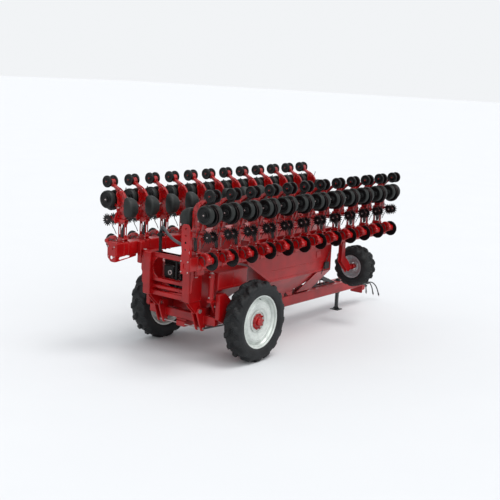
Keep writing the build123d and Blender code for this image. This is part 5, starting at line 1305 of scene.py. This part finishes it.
def make_tanks(sizes):
    """Front tank and rear hopper with their folds, bands, bolts and hatch hinges."""
    front_levels = [(0.33, 1.95, 2.9, 1.0), (0.9, 1.28, 3.96, 1.59), (0.9, 0.33, 3.96, 2.15),
        (0.9, 0.33, 3.96, 2.7)]
    rear_levels = [(0.42, -0.52, -0.06, 1.15), (1.0, -0.85, 0.22, 1.72), (1.0, -0.85, 0.22, 2.12)]
    skin = hopper_skin(front_levels, (0.42, 1.1, 3.2), 0.006, 0.03)
    trims = []
    for s in (1, -1):
        x = s * 0.903
        trims.append(bar((x, 1.3, 1.6), (x, 3.95, 1.6), 0.012, 0.05, 0.003))
        trims.append(bar((x, 0.345, 2.15), (x, 1.28, 1.6), 0.012, 0.045, 0.003, (0, 0, 1)))
        trims.append(bar((x, 0.345, 2.66), (x, 3.95, 2.66), 0.02, 0.06, 0.003))
        trims.append(bar((x, 3.94, 1.6), (x, 3.94, 2.66), 0.014, 0.03, 0.003, (0, 1, 0)))
        trims.append(bar((x, 0.345, 2.2), (x, 0.345, 2.66), 0.014, 0.03, 0.003, (0, 1, 0)))
        trims.append(bar((x, 1.34, 1.85), (x, 3.8, 1.85), 0.006, 0.012, 0.002))
        square = block((min(x, x + s * 0.01), 3.25, 1.95), (max(x, x + s * 0.01), 3.45, 2.12), 0.003)
        trims.append(square)
    small_box = joined(*[block((s * 0.93 - 0.03, 3.62, 1.62), (s * 0.93 + 0.03, 3.82, 1.8),
        0.008) for s in (1, -1)])
    rods = joined(*[tube([(s * 0.925, 3.5, 1.5), (s * 0.94, 3.86, 2.1)], 0.01, 8) for s in (1, -1)])
    ears = []
    for hatch_rear, hatch_front, x, z in ((1.1, 3.2, -0.485, 2.7333), (-0.7, -0.12, -0.585, 2.1533)):
        for y in (hatch_rear + 0.023, hatch_rear + 0.162, hatch_front - 0.177, hatch_front - 0.038):
            ears.append(plate([rounded([(x - 0.022, z - 0.033), (x + 0.022, z - 0.033),
                (x + 0.022, z + 0.01), (x, z + 0.022), (x - 0.022, z + 0.01)], 0.008)], y, y + 0.015,
                "xz", 0.002))
        for y in (hatch_rear + 0.037, hatch_front - 0.163):
            ears.append(drum(0.011, y, y + 0.126, "y", (x, 0, z), 0.002, 12))
    front_ears, rear_ears = joined(*ears[:6]), joined(*ears[6:])
    make_piece(
        "front_tank_dress", "chassis",
        [(joined(skin, *trims, front_ears), "gloss_enamel"), (joined(small_box, rods), "chassis_black")],
        ["front_tank"],
    )
    rear_skin = hopper_skin(rear_levels, (0.52, -0.7, -0.12), 0.006, 0.03)
    rear_trims = []
    for s in (1, -1):
        x = s * 1.003
        rear_trims.append(bar((x, -0.84, 1.73), (x, 0.21, 1.73), 0.012, 0.045, 0.003))
        rear_trims.append(bar((x, -0.84, 2.09), (x, 0.21, 2.09), 0.016, 0.05, 0.003))
        rear_trims.append(bar((x, -0.3, 1.76), (x, -0.3, 2.07), 0.01, 0.03, 0.002, (0, 1, 0)))
    rear_trims += [bar((-0.99, y, 2.09), (0.99, y, 2.09), 0.012, 0.05, 0.003) for y in (-0.853, 0.223)]
    make_piece("rear_hopper_dress", "chassis", [(joined(rear_skin, *rear_trims, rear_ears),
        "gloss_enamel")], ["rear_hopper"])
    for name, body, half, rear, front, top in (("front", "front_lid", 0.42, 1.1, 3.2, 2.7),
        ("rear", "rear_lid", 0.52, -0.7, -0.12, 2.12)):
        w, a, b, deck = half + 0.04, rear - 0.04, front + 0.04, top + 0.0303
        shell = loft([
            level_ring(w, a, b, deck - 0.02, 0.02), level_ring(w, a, b, deck + 0.001, 0.02),
                level_ring(w - 0.004, a + 0.004, b - 0.004, deck + 0.006, 0.02),
            level_ring(w - 0.06, a + 0.06, b - 0.06, deck + 0.008, 0.02),
                level_ring(w - 0.08, a + 0.08, b - 0.08, deck + 0.016, 0.02),
            level_ring(w - 0.085, a + 0.085, b - 0.085, deck + 0.01, 0.02),
                level_ring(w - 0.07, a + 0.07, b - 0.07, deck + 0.0005, 0.02),
            level_ring(w - 0.006, a + 0.006, b - 0.006, deck, 0.02),
                level_ring(w - 0.006, a + 0.006, b - 0.006, deck - 0.02, 0.02),
        ][:8] + [level_ring(w - 0.006, a + 0.006, b - 0.006, deck + 0.0002, 0.02)])
        middle = (rear + front) / 2
        handle = tube(smooth_line([(half - 0.04, middle - 0.11, deck),
            (half - 0.04, middle - 0.12, deck + 0.06), (half - 0.04, middle, deck + 0.062),
            (half - 0.04, middle + 0.12, deck + 0.06), (half - 0.04, middle + 0.11, deck)], 24), 0.009,
            10)
        ribs = joined(*[block((-half + 0.06, y - 0.02, deck + 0.004),
            (half - 0.06, y + 0.02, deck + 0.03), 0.006) for y in (rear + 0.15, front - 0.15)])
        x, z = -half - 0.065, deck + 0.003
        hinges = []
        for y in (rear + 0.04, front - 0.16):
            hinges.append(ring_drum(0.022, 0.0121, y, y + 0.12, "y", (x, 0, z), 0.002, 20))
            hinges.append(block((x + 0.018, y, deck), (-w + 0.004, y + 0.12, deck + 0.006), 0.002))
        make_piece(
            f"{name}_lid_dress", body,
            [(joined(shell, ribs, *hinges), "gloss_enamel"), (handle, "chassis_black")],
            ["front_tank_lid" if name == "front" else "rear_hopper_lid"],
        )


def make_fan(sizes):
    """Fan housing as a spiral shell round its rotor, with an inlet guard and an upright outlet."""
    c = (-0.15, 0, 1.9)
    drum_shell = turned([
        (0.19, -1.032), (0.196, -1.035), (0.31, -1.03), (0.326, -1.015), (0.33, -1.0), (0.33, -0.87),
        (0.322, -0.853),
        (0.05, -0.851), (0.05, -0.861), (0.315, -0.863), (0.32, -0.875), (0.32, -1.0), (0.312, -1.018),
        (0.2, -1.025), (0.19, -1.025),
    ], "y", c, 56, ring=True)
    guard = joined(*[ring_drum(r + 0.004, r - 0.004, -1.034, -1.028, "y", c, 0.001, 40) for r in (0.07,
        0.11, 0.15, 0.186)])
    spokes = joined(*[
        bar((c[0], -1.031, c[2]), (c[0] + 0.19 * math.cos(a), -1.031, c[2] + 0.19 * math.sin(a)), 0.006,
            0.006, 0.001, (0, 1, 0))
        for a in np.linspace(0.3, 0.3 + 2 * math.pi, 6, endpoint=False)
    ])
    duct_outline = [[(-0.48, -1.015), (-0.23, -1.015), (-0.23, -0.852), (-0.48, -0.852)],
        [(-0.47, -1.005), (-0.24, -1.005), (-0.24, -0.862), (-0.47, -0.862)]]
    duct = plate(duct_outline, 2.11, 2.228, "xy", 0.002)
    collar = plate([[(-0.492, -1.027), (-0.218, -1.027), (-0.218, -0.852), (-0.492, -0.852)],
        duct_outline[1]], 2.205, 2.225, "xy", 0.003)
    boss = turned([(0.0155, -0.905), (0.038, -0.905), (0.04, -0.9), (0.04, -0.855), (0.0155, -0.855)],
        "y", c, 24, ring=True)
    make_piece(
        "fan_housing_dress", "chassis",
        [(joined(drum_shell, duct, collar, boss), "moulded_nylon"),
        (joined(guard, spokes), "bright_zinc")], ["fan_housing"],
    )
    blades = []
    for k in range(8):
        root, tip = 2 * math.pi * k / 8, 2 * math.pi * k / 8 - 0.35
        middle = root - 0.1
        points = [(c[0] + r * math.cos(a), c[2] + r * math.sin(a)) for r,
            a in ((0.055, root), (0.16, middle), (0.28, tip))]
        line = np.array(points)
        normal = np.column_stack([-(np.gradient(line[:, 1])), np.gradient(line[:, 0])])
        normal = normal / np.linalg.norm(normal, axis=1, keepdims=True) * 0.004
        blades.append(plate([np.vstack([line + normal, (line - normal)[::-1]])], -1.008, -0.918, "xz",
            0.001))
    back = drum(0.285, -0.918, -0.91, "y", c, 0.002, 48)
    hub = turned([(0.02, -1.01), (0.05, -1.005), (0.06, -0.99), (0.06, -0.915), (0.03, -0.912)], "y", c,
        28)
    shaft = drum(0.015, -0.91, -0.858, "y", c, 0.002, 16)
    make_piece("fan_rotor_dress", "fan", [(joined(*blades, back, hub), "disc_steel"),
        (shaft, "bright_zinc")], ["fan_rotor"])


def make_cradle(sizes):
    """Saddles and the trapezoid front support of the tanks."""
    base = joined(
        block((-0.2, 1.95, 0.84), (0.2, 2.9, 1.0), 0.012), block((-0.2, -0.46, 0.84), (0.2, -0.15, 1.15),
            0.012),
    )
    outline = rounded([(0.2, 0.842), (0.3, 0.93), (0.9, 1.57), (0.9, 1.75), (-0.9, 1.75), (-0.9, 1.57),
        (-0.3, 0.93), (-0.2, 0.842)], 0.03)
    front = plate([outline, rounded([(0.16, 1.0), (0.42, 1.28), (-0.42, 1.28), (-0.16, 1.0)], 0.05)],
        3.96, 3.976, "xz", 0.004)
    sides = []
    for s in (1, -1):
        corners = np.array([[0.3, 3.3, 0.93], [0.3, 3.96, 0.93], [0.9, 3.96, 1.57], [0.9, 3.3, 1.57]])
        out = corners + [0.02, 0, 0]
        table = np.stack([corners * [s, 1, 1], out * [s, 1, 1]])
        sides.append(loft(list(table)))
        sides.append(bar((s * 0.31, 3.31, 0.935), (s * 0.91, 3.31, 1.565), 0.02, 0.05, 0.003, (0, 1, 0)))
        sides.append(plate([[(2.95, 1.0), (3.3, 1.0), (3.3, 0.845), (3.1, 0.845)]], s * 0.18 - 0.006,
            s * 0.18 + 0.006, "yz", 0.002))
    make_piece("cradle_dress", "chassis", [(joined(base, front, *sides), "gloss_enamel")],
        ["tank_cradle"])
    hoses = []
    for x, z, lift in ((0.215, 0.72, 0.012), (0.215, 0.66, 0.0)):
        points = [(x, 0.25, z), (x, 1.8, z + lift), (x, 3.4, z), (x, 5.2, z + lift), (x, 6.6, z)]
        hoses.append(tube(smooth_line(points, 30), 0.012, 8))
    clips = joined(*[block((0.2, y, 0.64), (0.232, y + 0.03, 0.745), 0.003) for y in (0.6, 1.9, 3.2, 4.5,
        5.6)])
    left = [mirrored(h) for h in hoses]
    make_piece("beam_line_dress", "chassis", [(joined(*left), "hose_rubber"),
        (mirrored(clips), "chassis_black")])


# ---- stage ----------------------------------------------------------------------------------------
LENS = 69.82
CAMERA_AT = (14.3883, -17.4495, 6.5043)
YAW, PITCH_DOWN, ROLL = 0.646973, 0.177809, 0.0499319


def make_stage():
    """Pale floor with a tall sweep, soft studio lights and the camera."""
    scene = bpy.context.scene
    scene.view_settings.view_transform = "Standard"
    floor = bpy.data.meshes.new("studio_floor")
    size = 400.0
    corners = [(-size, -size, 0), (size, -size, 0), (size, size, 0), (-size, size, 0)]
    floor.from_pydata(corners, [], [(0, 1, 2, 3)])
    paper = bpy.data.materials.new("studio_paper")
    paper.use_nodes = True
    tree = paper.node_tree
    tree.nodes.clear()
    place = add_node(tree, "ShaderNodeTexCoord")
    mottle = add_node(tree, "ShaderNodeTexNoise", {"Scale": 0.4}, {"Vector": (place, "Object")})
    tint = add_node(tree, "ShaderNodeMix", {"data_type": "RGBA"}, {0: (mottle, "Fac")})
    tint.inputs[6].default_value, tint.inputs[7].default_value = linear("#d0d2d5"), linear("#d3d5d7")
    shader = add_node(tree, "ShaderNodeBsdfPrincipled", {"Roughness": 0.9, "Specular IOR Level": 0.1},
        {"Base Color": (tint, 2)})
    add_node(tree, "ShaderNodeOutputMaterial", None, {"Surface": (shader, "BSDF")})
    floor.materials.append(paper)
    sheet = bpy.data.objects.new("studio_floor", floor)
    scene.collection.objects.link(sheet)
    world = bpy.data.worlds.new("studio_air")
    world.use_nodes = True
    back = world.node_tree.nodes["Background"]
    back.inputs["Color"].default_value = linear("#f4f6f8")
    back.inputs["Strength"].default_value = 0.98
    scene.world = world
    lights = (
        ("key_sun", (0.35, 0.15, 1.0), 1.5, 0.5, (1.0, 0.98, 0.96)),
        ("side_sun", (0.95, -0.75, 0.75), 0.9, 0.9, (1.0, 0.99, 0.98)),
    )
    for name, come_from, power, spread, colour in lights:
        lamp = bpy.data.lights.new(name, "SUN")
        lamp.energy, lamp.angle, lamp.color = power, spread, colour
        holder = bpy.data.objects.new(name, lamp)
        holder.rotation_mode = "QUATERNION"
        holder.rotation_quaternion = Vector(come_from).to_track_quat("Z", "Y")
        scene.collection.objects.link(holder)
    camera = bpy.data.cameras.new("studio_camera")
    camera.sensor_width, camera.lens = 36.0, LENS
    camera.clip_start, camera.clip_end = 0.5, 1000.0
    holder = bpy.data.objects.new("studio_camera", camera)
    ahead = np.array([-math.sin(YAW) * math.cos(PITCH_DOWN), math.cos(YAW) * math.cos(PITCH_DOWN),
        -math.sin(PITCH_DOWN)])
    level = np.array([math.cos(YAW), math.sin(YAW), 0.0])
    upright = np.cross(level, ahead)
    across = level * math.cos(ROLL) + upright * math.sin(ROLL)
    up = -level * math.sin(ROLL) + upright * math.cos(ROLL)
    turn = np.eye(4)
    turn[:3, 0], turn[:3, 1], turn[:3, 2] = across, up, -ahead
    turn[:3, 3] = np.array(CAMERA_AT) + [0, AXLE_Y, 0]
    scene.collection.objects.link(holder)
    holder.matrix_world = Matrix(turn.tolist())
    scene.camera = holder


# ---- operators ------------------------------------------------------------------------------------
def sizes_of(context):
    return context.scene.planter_sizes


class PLANTER_OT_finishes(bpy.types.Operator):
    """Make every finish, and put the plain ones on the frame nodes"""

    bl_idname = "planter.finishes"
    bl_label = "Finishes"

    def execute(self, context):
        make_finishes(context.scene.planter_colours)
        for slot in frame["record"]["materials"]:
            for name in slot.get("nodes", []):
                node = frame["nodes"].get(name)
                if node is not None:
                    node.data.materials.clear()
                    node.data.materials.append(FINISHES[SLOT_FINISH[slot["slot"]]])
        return {"FINISHED"}


class PLANTER_OT_stage(bpy.types.Operator):
    """Lay the floor and set the lights and the camera"""

    bl_idname = "planter.stage"
    bl_label = "Stage"

    def execute(self, context):
        make_stage()
        return {"FINISHED"}


def piece_operator(name, label, words, maker):
    """An operator that makes one group of pieces."""

    def execute(self, context):
        maker(sizes_of(context))
        return {"FINISHED"}

    facts = {"bl_idname": f"planter.{name}", "bl_label": label, "__doc__": words, "execute": execute}
    return type(f"PLANTER_OT_{name}", (bpy.types.Operator,), facts)


PIECES = [
    ("drawbar_hoses", "Drawbar hoses", "Lay the three hydraulic hoses at the hitch", make_drawbar_hoses),
    ("road_wheels", "Road wheels", "Make the road tyres, rims and hubs", make_road_wheels),
    ("wing_wheels", "Wing wheels", "Make the wing support wheels and their legs", make_wing_wheels),
    ("gauge_wheels", "Gauge wheels", "Make the gauge wheels of every row", make_gauge_wheels),
    ("closing_wheels", "Closing wheels", "Make the closing wheels of every row", make_closing_wheels),
    ("opener_discs", "Opener discs", "Make the opener discs of every row", make_opener_discs),
    ("star_wheels", "Star wheels", "Make the row cleaner stars", make_star_wheels),
    ("coulter_discs", "Coulter discs", "Make the wavy coulter discs", make_coulter_discs),
    ("closing_arms", "Closing forks", "Make the forks of the closing wheels", make_closing_arms),
    ("links", "Links", "Make the parallel links and their springs", make_links),
    ("unit_frames", "Row units", "Make the row unit frames and seed meters", make_unit_frames),
    ("toolbars", "Toolbars", "Make both toolbars with their clamps and ears", make_toolbars),
    ("coulter_arms", "Coulter arms", "Make the hooded coulter arms", make_coulter_arms),
    ("lift_frame", "Lift frame", "Make the lift frame and the hinge arms", make_lift_frame),
    ("air_lines", "Air lines", "Make the distributor heads and the air hose", make_air_lines),
    ("chassis", "Chassis", "Make the drawbar, axle, brackets and cylinders", make_chassis),
    ("hitch", "Hitch", "Make the hitch, tow eye, stand, steps and rack", make_hitch),
    ("tanks", "Tanks", "Make both tanks and their lids", make_tanks),
    ("fan", "Fan", "Make the fan housing and its rotor", make_fan),
    ("cradle", "Cradle", "Make the tank supports and the beam lines", make_cradle),
]
PIECE_OPERATORS = [piece_operator(*facts) for facts in PIECES]


class PLANTER_PT_panel(bpy.types.Panel):
    """Lists the planter's sizes, colours and builders"""

    bl_label = "Folding Planter"
    bl_space_type = "VIEW_3D"
    bl_region_type = "UI"
    bl_category = "Planter"

    def draw(self, context):
        layout = self.layout
        for group in (context.scene.planter_sizes, context.scene.planter_colours):
            box = layout.box()
            for name in group.__annotations__:
                box.prop(group, name)
        layout.operator("planter.finishes")
        for name, label, words, maker in PIECES:
            layout.operator(f"planter.{name}")
        layout.operator("planter.stage")


CLASSES = [PLANTER_PG_sizes, PLANTER_PG_colours, PLANTER_OT_finishes, PLANTER_OT_stage, *PIECE_OPERATORS,
    PLANTER_PT_panel]


def register():
    for item in CLASSES:
        bpy.utils.register_class(item)
    bpy.types.Scene.planter_sizes = bpy.props.PointerProperty(type=PLANTER_PG_sizes)
    bpy.types.Scene.planter_colours = bpy.props.PointerProperty(type=PLANTER_PG_colours)


def unregister():
    del bpy.types.Scene.planter_sizes
    del bpy.types.Scene.planter_colours
    for item in reversed(CLASSES):
        bpy.utils.unregister_class(item)


def main():
    register()
    bpy.ops.planter.finishes()
    bpy.ops.planter.stage()
    for name, label, words, maker in PIECES:
        getattr(bpy.ops.planter, name)()


if __name__ == "__main__":
    main()
